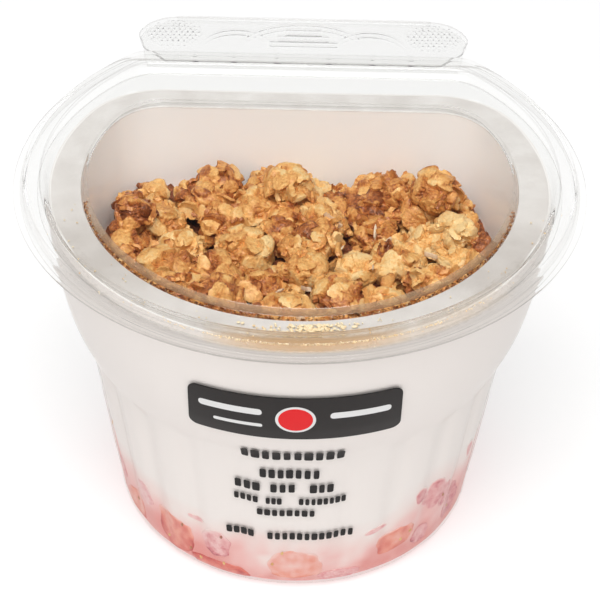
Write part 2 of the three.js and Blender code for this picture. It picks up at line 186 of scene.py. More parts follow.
# The food.
YOGURT_TOP = RIM_Z + TRAY_FLANGE_BOTTOM + 0.1
FRUIT_TOP_Z = 14.2
FRUIT_RISE = 4.7
FRUIT_WAVE = 1
HEAP_Z = RIM_Z - 16
HEAP_WAVE = 1.6
HEAP_LIFT = 2.4
CORE_SUNK = 1.6
CORE_CRAGS = 1.3
CORE_RINGS = 48
CLUSTER_COUNT = 42
CLUSTER_MIN_R = 3.6
CLUSTER_MAX_R = 5.6
CLUSTER_WIDTH_DRAWS = 20
CLUSTER_SQUASH = 0.82
CLUSTER_GROWN = 1.06
HEAP_TOP_Z = RIM_Z - 3
FILM_THICK = 0.02
FILM_LIFT = 0.06
GOLDEN_FROM = 0.57
FLAKES_EACH = 8
SMALL_COUNT = 54
SMALL_AT_WALL = 22
LOOSE_FLAKES = 45
CRUMB_COUNT = 320
SLIVER_COUNT = 16
OATS_PRESSED = 30
SPIRAL_STEP = math.pi * (3 - math.sqrt(5))
# Clusters that stand up above the others: place, size, width and turn.
PEAK_CLUSTERS = [
    (Vector((-2, 11.5, 58.6)), 4.2, 1, 0.4), (Vector((24.5, 10.5, 58.4)), 4.6, 0.95, 1.9),
    (Vector((-29.5, 4, 57)), 3.9, 0.9, 3), (Vector((17.5, 13, 56.3)), 3.4, 1, 5),
    (Vector((28, 3.5, 54.6)), 4, 0.9, 2.4),
]
# Shares at which the yogurt has the cream of the tray's bed, brightened there as painted light, and the cream
# of the cup's wall.
TRAY_SHARE = 0.12
WALL_SHARE = 0.22
FRUIT_DEEP = 4.4
FRUIT_SUNK = 0.55
RIPE_FROM = 0.62
FRUIT_PROUD = 0.1
YOGURT_INSET = CUP_WALL - INTO_WALL
FRUIT_INSET = YOGURT_INSET - FRUIT_PROUD
# Strawberry pieces: turn, z of the middle, width, height, lean in degrees, and ripeness from 0 to 1.
FRUIT_PIECES = [
    (-62, 5.5, 8, 6, 0, 0.5), (-40, 7.5, 9.5, 10, 0, 0.68), (-24, 9.5, 6, 7.5, 0, 0.35),
    (1, 7, 11, 8.5, 0, 0.28), (34, 8.5, 9, 6.5, 12, 0.6), (49, 15.5, 7, 8, 30, 0.5),
    (60, 8.5, 6, 9, 0, 0.6), (85, 8, 8, 7, 0, 0.5), (118, 7.5, 9, 8, 0, 0.6),
    (150, 8.5, 8, 7, 0, 0.45), (-152, 7, 9, 8, 0, 0.55), (-125, 8.5, 8, 8, 0, 0.4),
    (-92, 8, 8, 7.5, 0, 0.6),
]
PURPLE_PIECES = (2, 5, 6, 9)
# Thin streaks and slices of fruit at the wall, given the same way. The ripest of them are red.
RED_FROM = 0.65
FRUIT_SHREDS = [
    (-24, 2.8, 13, 3.6, 0, 0.85), (26, 13.4, 5, 1.6, 6, 0.3), (42, 17.5, 3.6, 5, 25, 0.6),
    (54, 13, 3, 7, -10, 0.55), (-31, 14, 4, 1.6, -10, 0.15), (-53, 12, 4.5, 6, 15, 0.2),
    (15, 3.2, 9, 3, 0, 0.3), (-69, 11, 3, 6, 0, 0.5), (66, 19, 2.6, 5, 10, 0.4),
    (45, 6, 5, 5, -20, 0.4), (100, 14, 5, 2, 0, 0.6), (170, 13, 6, 2, 0, 0.5),
    (-108, 14, 5, 3, 0, 0.5), (135, 4, 8, 3, 0, 0.8), (-140, 3.5, 8, 3, 0, 0.7),
]

# The camera.
CAMERA_LENS = 147.43
CAMERA_DISTANCE = 446.3
CAMERA_PITCH = math.radians(38.29)
CAMERA_ROLL = math.radians(1.27)
CAMERA_TARGET = (0.44, 0, 41.3)
WORLD_STRENGTH = 0.45


# -------------------- shapes of the pack


def unit(x):
    """The number, held between 0 and 1."""
    return min(max(x, 0), 1)


def smoothstep(x, low, high):
    part = unit((x - low) / (high - low))
    return part * part * (3 - 2 * part)


def polar(reach, azimuth, z=0.0):
    """The point at a polar radius, an azimuth and a height."""
    return reach * math.cos(azimuth), reach * math.sin(azimuth), z


def rounded_d(azimuth, round_r, back, corner):
    """Polar radius of a circle whose back (+Y) is cut straight, with rounded corners."""
    turn = math.asin(math.sin(azimuth))
    corner_y = back - corner
    corner_x = math.sqrt((round_r - corner) ** 2 - corner_y ** 2)
    if turn <= math.atan2(corner_y, corner_x):
        return round_r
    if turn >= math.atan2(back, corner_x):
        return back / math.sin(turn)
    along = corner_x * math.cos(turn) + corner_y * math.sin(turn)
    return along + math.sqrt(along ** 2 - (round_r - corner) ** 2 + corner ** 2)


def crest_radius(z):
    """Round radius over the crests of the flutes, down through the fillet to the base."""
    if z >= BASE_FILLET:
        return FLUTE_FOOT_R + (z - BASE_FILLET) * FLUTE_DRAFT
    rest = 1 - max(z, 0) / BASE_FILLET
    return BASE_R + (FLUTE_FOOT_R - BASE_R) * math.sqrt(1 - rest ** 2)


def bowl_radius(z):
    """Round radius of the smooth bowl, which curves in faster below its waist."""
    drop = RIM_Z - max(z, WAIST_Z)
    below = max(WAIST_Z - z, 0)
    return MOUTH_R - BOWL_CURVE * drop ** 2 - BOWL_SLOPE * below - BOWL_UNDER_CURVE * below ** 2


def cup_radius(azimuth, z):
    """Polar radius of the cup's outer wall: flutes that end in arches, shallower under the print."""
    crest = crest_radius(z)
    valley = math.cos(azimuth * FLUTE_COUNT / 2) ** 4
    calm = 1 - CALM_DEPTH * math.exp(-(math.cos(azimuth) / math.sin(FLUTE_CALM)) ** 2)
    depth = FLUTE_DEPTH * calm * smoothstep(z, 0, FLUTE_FADE_Z)
    fluted = rounded_d(azimuth, crest, crest - BACK_CUT, BODY_CORNER) - depth * valley
    bowl = bowl_radius(z)
    if bowl < BASE_R:
        return fluted
    smooth = rounded_d(azimuth, bowl, bowl - BACK_CUT, BODY_CORNER)
    apart = fluted - smooth
    return (fluted + smooth + math.sqrt(apart ** 2 + ARCH_BLEND ** 2)) / 2 - ARCH_BLEND / 8


def inside_cup(azimuth, z, inset):
    """Polar radius of a surface that lies inset inside the cup's outer wall and base."""
    sink = inset * (1 - smoothstep(z, BASE_FILLET, FLUTE_FADE_Z))
    return cup_radius(azimuth, z - sink) - inset


def fruit_top(azimuth, part):
    """Height of the strawberry layer's top: higher at the sides, in soft waves."""
    side = math.cos(azimuth) ** 2
    wave = math.sin(3 * azimuth + 0.8) + 0.6 * math.sin(7 * azimuth)
    return FRUIT_TOP_Z + part * (FRUIT_RISE * side ** 3 + FRUIT_WAVE * wave)


def tray_radius(z):
    """Round radius of the tray's outside between its floor and its mouth."""
    part = (z - TRAY_SIDE_FOOT_Z) / (RIM_Z + TRAY_FLANGE_BOTTOM - TRAY_SIDE_FOOT_Z)
    return TRAY_SIDE_FOOT_R + (TRAY_MOUTH_R - TRAY_SIDE_FOOT_R) * part


# -------------------- making meshes


def pole(z):
    """End of a profile, on the axis."""
    return lambda azimuth: (0, z)


def ring(round_r, back, corner, z):
    return lambda azimuth: (rounded_d(azimuth, round_r, back, corner), z)


def cup_ring(z, inset):
    if inset > 0:
        return lambda azimuth: (inside_cup(azimuth, z, inset), z)
    return lambda azimuth: (cup_radius(azimuth, z), z)


def border_ring(part, lift, inset):
    """Ring on the border between strawberry layer and yogurt."""
    def place(azimuth):
        z = fruit_top(azimuth, 1) + lift
        return part * inside_cup(azimuth, z, inset), fruit_top(azimuth, part) + lift
    return place


def eased(corners, cut, steps=4):
    """A path of vectors with every inner corner replaced by a small curve."""
    path = [Vector(corners[0])]
    for before, corner, after in zip(corners, corners[1:], corners[2:]):
        before, corner, after = Vector(before), Vector(corner), Vector(after)
        reach = min(cut, (corner - before).length * 0.45, (after - corner).length * 0.45)
        start = corner + (before - corner).normalized() * reach
        end = corner + (after - corner).normalized() * reach
        for i in range(steps + 1):
            t = i / steps
            path.append(start * (1 - t) ** 2 + corner * 2 * t * (1 - t) + end * t ** 2)
    path.append(Vector(corners[-1]))
    return path


def face_out(bm):
    """The closed shape with all its faces pointing outwards, also where it is very thin."""
    bmesh.ops.recalc_face_normals(bm, faces=bm.faces)
    if bm.calc_volume(signed=True) < 0:
        bmesh.ops.reverse_faces(bm, faces=bm.faces)
    return bm


def grid(columns, rows, size=1):
    """New flat grid that spans -size to size."""
    bm = bmesh.new()
    bmesh.ops.create_grid(bm, x_segments=columns, y_segments=rows, size=size)
    return bm


def ball(subdivisions, radius=1.0):
    """New round ball about the origin."""
    bm = bmesh.new()
    bmesh.ops.create_icosphere(bm, subdivisions=subdivisions, radius=radius)
    return bm


def swing(bm, angle, axis):
    """Turn the whole shape about one axis through the origin."""
    bmesh.ops.rotate(bm, verts=bm.verts, cent=(0, 0, 0), matrix=Matrix.Rotation(angle, 3, axis))


def turned(rings, steps=360):
    """Closed bmesh turned from a profile of rings that starts and ends on the axis."""
    bm = bmesh.new()
    line = [bm.verts.new((1, 0, j)) for j in range(len(rings))]
    edges = [bm.edges.new(pair) for pair in zip(line, line[1:])]
    bmesh.ops.spin(bm, geom=line + edges, cent=(0, 0, 0), axis=(0, 0, 1), angle=2 * math.pi,
                   steps=steps, use_merge=True)
    for vert in bm.verts:
        azimuth = math.atan2(vert.co.y, vert.co.x)
        radius, z = rings[round(vert.co.z)](azimuth)
        vert.co = polar(radius, azimuth, z)
    bmesh.ops.remove_doubles(bm, verts=bm.verts, dist=1e-5)
    return face_out(bm)


def to_object(bm, name, material, smooth=True):
    """Finished piece in metres from a bmesh in millimetres, its creases kept crisp."""
    bmesh.ops.scale(bm, vec=(MM, MM, MM), verts=bm.verts)
    for face in bm.faces:
        face.smooth = smooth
    for edge in bm.edges:
        edge.smooth = edge.calc_face_angle(0) < CREASE_ANGLE
    mesh = bpy.data.meshes.new(name)
    bm.to_mesh(mesh)
    bm.free()
    mesh.materials.append(material)
    return in_scene(name, mesh)


def in_scene(name, data):
    """New object of this name and data."""
    thing = bpy.data.objects.new(name, data)
    bpy.context.scene.collection.objects.link(thing)
    return thing


def add(bm, name, material, body, slot, *nodes):
    """Add a finished piece that rides a body and may stand for CAD nodes; slot is not used."""
    piece = to_object(bm, name, material)
    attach(piece, body)
    if nodes:
        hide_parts(*nodes)


def joined(shapes):
    """One bmesh of many small ones, each given with one tone or a tone for each of its points."""
    whole = bmesh.new()
    tone_of = whole.verts.layers.float.new("tone")
    scrap = bpy.data.meshes.new("scrap")
    for shape, tone in shapes:
        start = len(whole.verts)
        shape.to_mesh(scrap)
        shape.free()
        whole.from_mesh(scrap)
        whole.verts.ensure_lookup_table()
        for i, vert in enumerate(whole.verts[start:]):
            vert[tone_of] = tone[i] if isinstance(tone, list) else tone
    bpy.data.meshes.remove(scrap)
    return whole


def rounded_sheet(width, depth, corner, columns, rows):
    """Flat grid in X and Y with rounded corners, its rows closest together at the two ends."""
    bm = grid(columns, rows)
    for vert in bm.verts:
        y = depth / 2 * math.sin(vert.co.y * math.pi / 2)
        into_corner = max(abs(y) - (depth / 2 - corner), 0)
        half = width / 2 - corner + math.sqrt(max(corner ** 2 - into_corner ** 2, 0))
        vert.co = (vert.co.x * half, y, 0)
    return bm


def wrapped(bm, turn, z, lift):
    """The flat sheet as a thin plate on the cup's wall, with its middle at a turn and a height."""
    azimuth = math.radians(turn - 90)
    for vert in bm.verts:
        high = z + vert.co.y
        around = azimuth + vert.co.x / max(bowl_radius(high), crest_radius(high))
        vert.co = polar(cup_radius(around, high) + lift + INK_THICK, around, high)
    bmesh.ops.remove_doubles(bm, verts=bm.verts, dist=1e-4)
    bmesh.ops.recalc_face_normals(bm, faces=bm.faces)
    middle = min(bm.faces, key=lambda face: abs(face.calc_center_median().z - z))
    outward = middle.calc_center_median().to_2d()
    if middle.normal.to_2d().dot(outward) < 0:
        bmesh.ops.reverse_faces(bm, faces=bm.faces)
    bmesh.ops.solidify(bm, geom=bm.faces[:], thickness=INK_THICK)
    return bm


# -------------------- materials


def put(node, **values):
    """Set sockets of a node, with an underscore for each space in a socket's name."""
    for name, value in values.items():
        node.inputs[name.replace("_", " ")].default_value = value


def new_material(name):
    material = bpy.data.materials.new(name)
    material.use_nodes = True
    nodes = material.node_tree.nodes
    return material, nodes, material.node_tree.links, nodes["Principled BSDF"]


def colour_ramp(nodes, stops):
    """New ramp through stops of a place and a colour."""
    ramp = nodes.new("ShaderNodeValToRGB")
    marks = ramp.color_ramp.elements
    for mark, (at, colour) in zip(marks, (stops[0], stops[-1])):
        mark.position, mark.color = at, (*colour, 1)
    for at, colour in stops[1:-1]:
        marks.new(at).color = (*colour, 1)
    return ramp


def point_value(nodes, name):
    """Socket of a value that each point of the mesh keeps."""
    attribute = nodes.new("ShaderNodeAttribute")
    attribute.attribute_name = name
    return attribute.outputs["Fac"]


def clear_plastic(name, bend, edge_on):
    """Thin clear plastic: glossy, greyer edge on, with painted grey shade along its cut edges and folds, and
    lamps shine through it.
    """
    material, nodes, links, shader = new_material(name)
    put(shader, Roughness=0.03, IOR=bend, Coat_Weight=0.3, Coat_Roughness=0.04, Coat_IOR=1.5,
        Transmission_Weight=1)
    turned_away = nodes.new("ShaderNodeLayerWeight")
    put(turned_away, Blend=0.5)
    tint = colour_ramp(nodes, [(0.5, (0.995, 0.995, 0.99)), (0.95, edge_on)])
    links.new(turned_away.outputs["Facing"], tint.inputs[0])
    # Painted shade: grey mixed into the colour where the points' line value marks a cut edge or a fold.
    edge_shaded = nodes.new("ShaderNodeMix")
    edge_shaded.data_type = "RGBA"
    factor, clear, grey = (edge_shaded.inputs[i] for i in (0, 6, 7))
    grey.default_value = (*EDGE_SHADE_GREY, 1)
    links.new(point_value(nodes, "line"), factor)
    links.new(tint.outputs[0], clear)
    links.new(edge_shaded.outputs[2], shader.inputs["Base Color"])
    through = nodes.new("ShaderNodeBsdfTransparent")
    put(through, Color=(0.985, 0.985, 0.98, 1))
    path = nodes.new("ShaderNodeLightPath")
    surface = shader.outputs[0]
    for rays in ("Is Shadow Ray", "Is Diffuse Ray"):
        straight = nodes.new("ShaderNodeMixShader")
        for i, source in enumerate((path.outputs[rays], surface, through.outputs[0])):
            links.new(source, straight.inputs[i])
        surface = straight.outputs[0]
    links.new(surface, nodes["Material Output"].inputs["Surface"])
    return material


def cloudy_group():
    """Soft mottling of a 0 to 1 mask, with a finer grain on top, and the same clouds as a height."""
    group = bpy.data.node_groups.new("cloudy", "ShaderNodeTree")
    for name in ("Mask", "Cloud Scale", "Cloud Amount", "Grain Scale", "Grain Amount"):
        group.interface.new_socket(name=name, in_out="INPUT", socket_type="NodeSocketFloat")
    for name in ("Mask", "Height"):
        group.interface.new_socket(name=name, in_out="OUTPUT", socket_type="NodeSocketFloat")
    nodes, links = group.nodes, group.links
    given = nodes.new("NodeGroupInput")
    result = nodes.new("NodeGroupOutput")
    place_of = nodes.new("ShaderNodeTexCoord")

    def worked_out(operation, *terms):
        node = nodes.new("ShaderNodeMath")
        node.operation = operation
        for i, term in enumerate(terms):
            if isinstance(term, float):
                node.inputs[i].default_value = term
            else:
                links.new(term, node.inputs[i])
        return node.outputs[0]

    total = given.outputs["Mask"]
    heights = []
    for label, detail in (("Cloud", 2), ("Grain", 3)):
        cloud = nodes.new("ShaderNodeTexNoise")
        put(cloud, Detail=detail)
        links.new(place_of.outputs["Object"], cloud.inputs["Vector"])
        links.new(given.outputs[label + " Scale"], cloud.inputs["Scale"])
        around_zero = worked_out("SUBTRACT", cloud.outputs[0], 0.5)
        total = worked_out("MULTIPLY_ADD", around_zero, given.outputs[label + " Amount"], total)
        heights.append(cloud.outputs[0])
    held = nodes.new("ShaderNodeClamp")
    links.new(total, held.inputs[0])
    links.new(held.outputs[0], result.inputs["Mask"])
    links.new(worked_out("ADD", *heights), result.inputs["Height"])
    return group


def mottled(name, mask, clouds, grain, stops, roughness, bump_mm=0.0, alpha=None, shine=0.5, glaze=0.0):
    """Material whose colour runs through stops along a mask that clouds and grain break up.

    mask is a point attribute's name or one number, clouds and grain are (size in mm, amount), and
    stops are (place, colour).
    """
    material, nodes, links, shader = new_material(name)
    cloudy = nodes.new("ShaderNodeGroup")
    cloudy.node_tree = CLOUDY
    if isinstance(mask, str):
        links.new(point_value(nodes, mask), cloudy.inputs["Mask"])
    else:
        put(cloudy, Mask=mask)
    for label, (size, amount) in (("Cloud", clouds), ("Grain", grain)):
        put(cloudy, **{label + "_Scale": 1 / (size * MM), label + "_Amount": amount})
    ramp = colour_ramp(nodes, stops)
    links.new(cloudy.outputs["Mask"], ramp.inputs[0])
    links.new(ramp.outputs[0], shader.inputs["Base Color"])
    put(shader, Roughness=roughness, Specular_IOR_Level=shine)
    if glaze:
        put(shader, Specular_Tint=(1, 0.82, 0.64, 1), Coat_Weight=glaze, Coat_Roughness=0.2)
    if alpha:
        thin = nodes.new("ShaderNodeMapRange")
        put(thin, To_Min=alpha[0], To_Max=alpha[1])
        links.new(cloudy.outputs["Mask"], thin.inputs["Value"])
        links.new(thin.outputs[0], shader.inputs["Alpha"])
    if bump_mm:
        bump = nodes.new("ShaderNodeBump")
        put(bump, Distance=bump_mm * MM)
        links.new(cloudy.outputs["Height"], bump.inputs["Height"])
        links.new(bump.outputs[0], shader.inputs["Normal"])
    return material


# -------------------- the clear pack


def wall_heights():
    """Heights of the cup's wall rings, close together at the base and at the arches."""
    foot = [BASE_FILLET * (1 - math.cos(math.radians(a))) for a in range(0, 91, 15)]
    lower = [BASE_FILLET + i * 1.5 for i in range(1, 19)]
    arches = [31.5 + i * 0.5 for i in range(17)]
    upper = [41 + i * 2 for i in range(13)]
    return foot + lower + arches + upper


def cup_shell():
    """The cup in one skin: base and wall outside, shelf and lip, and back down inside."""
    step_foot = LIP_WIDTH + STEP_SLOPE
    lip = lambda inset, z: (LIP_R - inset, LIP_BACK - inset, RIM_Z + z)
    shelf = bowl_radius(RIM_Z + SHELF_BOTTOM)
    rim = eased([
        (shelf, shelf - BACK_CUT, RIM_Z + SHELF_BOTTOM - 0.3),
        (shelf + 0.2, shelf - BACK_CUT + 0.2, RIM_Z + SHELF_BOTTOM),
        lip(step_foot, SHELF_BOTTOM),
        lip(LIP_WIDTH, LIP_BOTTOM),
        lip(0, LIP_BOTTOM),
        lip(0, LIP_TOP),
        lip(LIP_WIDTH + STEP_WALL, LIP_TOP),
        lip(step_foot + STEP_WALL, SHELF_TOP),
        (shelf - CUP_WALL + 0.2, shelf - BACK_CUT - CUP_WALL + 0.2, RIM_Z + SHELF_TOP),
    ], 0.25)
    edge = [ring(p.x, p.y, LIP_CORNER, p.z) for p in rim[1:-1]]
    heights = wall_heights()
    outer = [cup_ring(z, 0) for z in heights]
    inner = [cup_ring(max(z, CUP_WALL + z * 0.7), CUP_WALL) for z in reversed(heights)]
    return turned([pole(0), *outer, *edge, *inner, pole(CUP_WALL)])


def tray_shell():
    """The granola tray in one skin, from its floor out to its flange and back."""
    mouth = RIM_Z + TRAY_FLANGE_BOTTOM
    side = lambda r, z: (r, r - BACK_CUT, z)
    profile = eased([
        side(TRAY_FLOOR_R, TRAY_FLOOR_Z),
        side(TRAY_EDGE_R, TRAY_FLOOR_Z + TRAY_EDGE_RISE),
        side(TRAY_SIDE_FOOT_R, TRAY_SIDE_FOOT_Z),
        side(TRAY_MOUTH_R, mouth),
        (TRAY_FLANGE_R, TRAY_FLANGE_BACK, mouth),
        (TRAY_FLANGE_R, TRAY_FLANGE_BACK, RIM_Z + TRAY_FLANGE_TOP),
        side(TRAY_MOUTH_R - TRAY_WALL, RIM_Z + TRAY_FLANGE_TOP),
        side(TRAY_SIDE_FOOT_R - TRAY_WALL, TRAY_SIDE_FOOT_Z),
        side(TRAY_EDGE_R - TRAY_WALL, TRAY_FLOOR_Z + TRAY_EDGE_RISE + TRAY_WALL / 2),
        side(TRAY_FLOOR_R, TRAY_FLOOR_Z + TRAY_WALL),
    ], 0.6)
    rings = [ring(p.x, p.y, min(TRAY_CORNER, p.y - 1), p.z) for p in profile]
    return turned([pole(TRAY_FLOOR_Z), *rings, pole(TRAY_FLOOR_Z + TRAY_WALL)])


def lid_shell():
    """The lid in one skin: its underside from the middle out, then its top side back in."""
    middle = lambda r, z: (r, r - BACK_CUT, RIM_Z + z, TRAY_CORNER)
    hoop = lambda inset, z: (RING_R - inset, RING_BACK - inset, RIM_Z + z, LIP_CORNER)
    foot = lambda z: (FOOT_R, FOOT_BACK, RIM_Z + z, LIP_CORNER)
    edge = lambda z: (FLANGE_R, FLANGE_BACK, RIM_Z + z, LIP_CORNER)
    corners = [
        middle(PLATEAU_R - LID_WALL / 2 - 1, PLATEAU_RISE - LID_WALL),
        middle(PLATEAU_R - LID_WALL / 2, PLATEAU_RISE - LID_WALL),
        middle(SHOULDER_R - LID_WALL, SHOULDER_RISE - LID_WALL),
        middle(TRAY_MOUTH_R - LID_WALL, -LID_WALL),
        hoop(CHANNEL_EDGE - LID_WALL, -LID_WALL),
        hoop(RING_EDGE - LID_WALL, RING_EDGE_RISE - LID_WALL),
        hoop(RING_WIDTH - LID_WALL / 2, RING_RISE - LID_WALL),
        hoop(LID_WALL, RING_RISE - LID_WALL),
        hoop(0, -LID_WALL),
        edge(-LID_WALL),
        edge(0),
        foot(0),
        hoop(0, RING_RISE),
        hoop(RING_WIDTH, RING_RISE),
        hoop(RING_EDGE, RING_EDGE_RISE),
        hoop(CHANNEL_EDGE, 0),
        middle(TRAY_MOUTH_R, 0),
        middle(SHOULDER_R, SHOULDER_RISE),
        middle(PLATEAU_R, PLATEAU_RISE),
        middle(PLATEAU_R - 1, PLATEAU_RISE),
    ]
    rings = [ring(p[0], p[1], p[3], p[2]) for p in eased(corners, 0.35)]
    low = RIM_Z + PLATEAU_RISE - LID_WALL
    return turned([pole(low), *rings, pole(low + LID_WALL)])


def keep_edge_shade(bm, lines):
    """Each point keeps how much painted grey shade marks it, in a fine line as at a cut edge or a sharp fold.

    A line is (round radius, straight back, corner radius, half width, strength).
    """
    edge_shade_of = bm.verts.layers.float.new("line")
    for vert in bm.verts:
        azimuth, reach = math.atan2(vert.co.y, vert.co.x), math.hypot(vert.co.x, vert.co.y)
        for round_r, back, corner, half, strength in lines:
            off = abs(reach - rounded_d(azimuth, round_r, back, corner))
            vert[edge_shade_of] = max(vert[edge_shade_of], strength * max(1 - off / half, 0))
    return bm


def strip_half(y, root_y, root_half, half, end_y):
    """Half width of a strip leaf: from its root out through a waist, with rounded far corners."""
    waist = half - STRIP_WAIST_IN
    if y < STRIP_WAIST_Y:
        bend = STRIP_WAIST_BEND / (STRIP_WAIST_Y - root_y)
        part = (y - root_y) / (STRIP_WAIST_Y - root_y)
        eased_part = smoothstep(part, -0.4 * bend, 1)
        return root_half + (waist - root_half) * eased_part
    wide = waist + STRIP_WAIST_IN * smoothstep(y, STRIP_WAIST_Y, STRIP_WAIST_Y + 4)
    into_corner = max(y - (end_y - STRIP_CORNER), 0) / STRIP_CORNER
    return wide - STRIP_CORNER * (1 - math.sqrt(max(1 - into_corner ** 2, 0)))


def strip_relief(x, y):
    """Height of the strip's relief: knurled grips, bowed bars and short ribs."""
    grip_x, grip_y, grip_half, grip_tall = STRIP_GRIP
    side = (abs(x) - grip_x) / grip_half
    if side ** 2 + ((y - grip_y) / grip_tall) ** 2 < 1:
        row = math.floor(y / STRIP_DOT_PITCH)
        shift = 0.5 * (row % 2)
        along = (x / STRIP_DOT_PITCH + shift) % 1 - 0.5
        across = (y / STRIP_DOT_PITCH) % 1 - 0.5
        return DOT_HIGH * max(0, 1 - (along ** 2 + across ** 2) / 0.1)
    height = 0
    for middle, top, half in STRIP_BARS:
        if abs(x - middle) < half + 1:
            part = min(abs(x - middle) / half, 1.08)
            bar = STRIP_BAR_FOOT_Y + (top - STRIP_BAR_FOOT_Y) * math.sqrt(max(1 - part ** 2.2, 0))
            height = max(height, BAR_HIGH * max(0, 1 - ((y - bar) / 0.45) ** 2))
    for line, half in STRIP_RIBS:
        if abs(x) < half:
            height = max(height, RIB_HIGH * max(0, 1 - ((y - line) / 0.36) ** 2))
    return height


def strip_leaf(root_y, root_half, half, end_y, bottom, edge_shade_strength):
    """One thin leaf of the folded hinge strip, with its relief pressed up from below."""
    bm = grid(250, 68)
    for vert in bm.verts:
        y = root_y + (end_y - root_y) * (vert.co.y + 1) / 2
        x = vert.co.x * strip_half(y, root_y, root_half, half, end_y)
        vert.co = (x, y, RIM_Z + bottom + STRIP_THICK + strip_relief(x, y))
    bmesh.ops.recalc_face_normals(bm, faces=bm.faces)
    if sum(face.normal.z for face in bm.faces) < 0:
        bmesh.ops.reverse_faces(bm, faces=bm.faces)
    bmesh.ops.solidify(bm, geom=bm.faces[:], thickness=STRIP_THICK)
    # Painted grey shade in a fine line along the leaf's cut edges.
    edge_shade_of = bm.verts.layers.float.new("line")
    for vert in bm.verts:
        edge = strip_half(vert.co.y, root_y, root_half, half, end_y)
        if vert.co.y > end_y - STRIP_EDGE_SHADE_WIDTH or abs(vert.co.x) > edge - STRIP_EDGE_SHADE_WIDTH:
            vert[edge_shade_of] = edge_shade_strength
    return bm


def strip_fold():
    """Rounded fold along the strip's far edge, on the line that the lid turns about."""
    bm = bmesh.new()
    bmesh.ops.create_uvsphere(bm, u_segments=16, v_segments=12, radius=STRIP_FOLD_R)
    swing(bm, math.pi / 2, "Y")
    half = STRIP_HALF - STRIP_CORNER
    ends = [vert for vert in bm.verts if abs(vert.co.x) > 1e-5]
    bmesh.ops.bisect_plane(bm, geom=bm.verts[:] + bm.edges[:] + bm.faces[:], plane_co=(0, 0, 0),
                           plane_no=(1, 0, 0))
    for vert in ends:
        vert.co.x += math.copysign(half, vert.co.x)
    bmesh.ops.translate(bm, verts=bm.verts, vec=STRIP_FOLD)
    return bm


# -------------------- the print


def band_plate(margin, lift):
    """Rounded label plate on the front of the bowl."""
    middle = (BAND_LOW + BAND_HIGH) / 2
    width = math.radians(2 * BAND_TURN) * cup_radius(-math.pi / 2, middle) + 2 * margin
    sheet = rounded_sheet(width, BAND_HIGH - BAND_LOW + 2 * margin, 1.6 + margin, 90, 24)
    return wrapped(sheet, 0, middle, lift)


def ink_bars(rows, lift):
    """Rounded bars of ink, given as start turn, end turn, height of the middle and thickness."""
    bars = []
    for start, end, z, tall in rows:
        turn = (start + end) / 2
        width = math.radians(end - start) * max(bowl_radius(z), crest_radius(z))
        sheet = rounded_sheet(width, tall, tall * 0.42, max(8, round(width)), 6)
        bars.append((wrapped(sheet, turn, z, lift), 0))
    return joined(bars)


def ink_blocks(rows, lift):
    """Rows of small upright blocks of ink that stand in for words."""
    rng = random.Random(8)
    blocks = []
    for start, end, z, tall, count in rows:
        pitch = (end - start) / count
        for i in range(count):
            broad = math.radians(pitch * rng.uniform(0.62, 0.84)) * max(bowl_radius(z), crest_radius(z))
            sheet = rounded_sheet(broad, tall, 0.24, 4, 6)
            blocks.append((wrapped(sheet, start + pitch * (i + 0.5), z, lift), 0))
    return joined(blocks)


def ink_disc(radius, lift):
    turn, z, _ = BAND_DISC
    return wrapped(rounded_sheet(2 * radius, 2 * radius, radius * 0.999, 16, 24), turn, z, lift)


# -------------------- the food


def fruit_share(azimuth, z):
    """How much strawberry colours the yogurt: all in the foot, fading out above the layer's top."""
    rise = z - fruit_top(azimuth, 1)
    wide = noise.noise(Vector(polar(4, azimuth, z * 0.12)))
    small = noise.noise(Vector(polar(13, azimuth, z * 0.33 + 9)))
    side = 0.5 * abs(math.cos(azimuth)) ** 1.4 - 0.05 * math.cos(azimuth)
    foot = 0.45 * (1 - smoothstep(z, 0, 9))
    turn = math.degrees(azimuth) + 90
    left = 0.16 * math.exp(-((turn + 25) / 14) ** 2) * (1 - smoothstep(z, 4, 10))
    high = 6 + 8 * math.exp(-((turn - 45) / 12) ** 2)
    return (0.46 + side + foot + left + 0.45 * wide + 0.3 * small) * (1 - smoothstep(rise, -9, high))


def wall_share(azimuth, z):
    """Share at the cup's wall, on the scale of the yogurt's colours."""
    return WALL_SHARE + (1 - WALL_SHARE) * unit(fruit_share(azimuth, z))


def flange_shade_share(azimuth):
    """Share of the yogurt's bed under the tray's flange, painted grey-lilac as shade: darkest at its two
    front quarters.
    """
    turn = abs(math.degrees(azimuth) + 90)
    turn = min(turn, 360 - turn)
    return (0.033 + 0.022 * smoothstep(turn, 60, 95)) * (1 - 0.9 * math.exp(-((turn - 56) / 15) ** 2))


def keep_share(bm):
    """Each point keeps its share: flange bed in painted shade, tray bed in painted light, then wall with its
    strawberry.
    """
    share_of = bm.verts.layers.float.new("share")
    for vert in bm.verts:
        x, y, z = vert.co
        azimuth = math.atan2(y, x)
        reach = math.hypot(x, y)
        vert[share_of] = wall_share(azimuth, z)
        if reach < inside_cup(azimuth, max(z, 0), CUP_WALL) and z > FRUIT_TOP_Z + FRUIT_RISE:
            vert[share_of] = TRAY_SHARE if z < YOGURT_TOP - 0.3 else flange_shade_share(azimuth)
    return bm


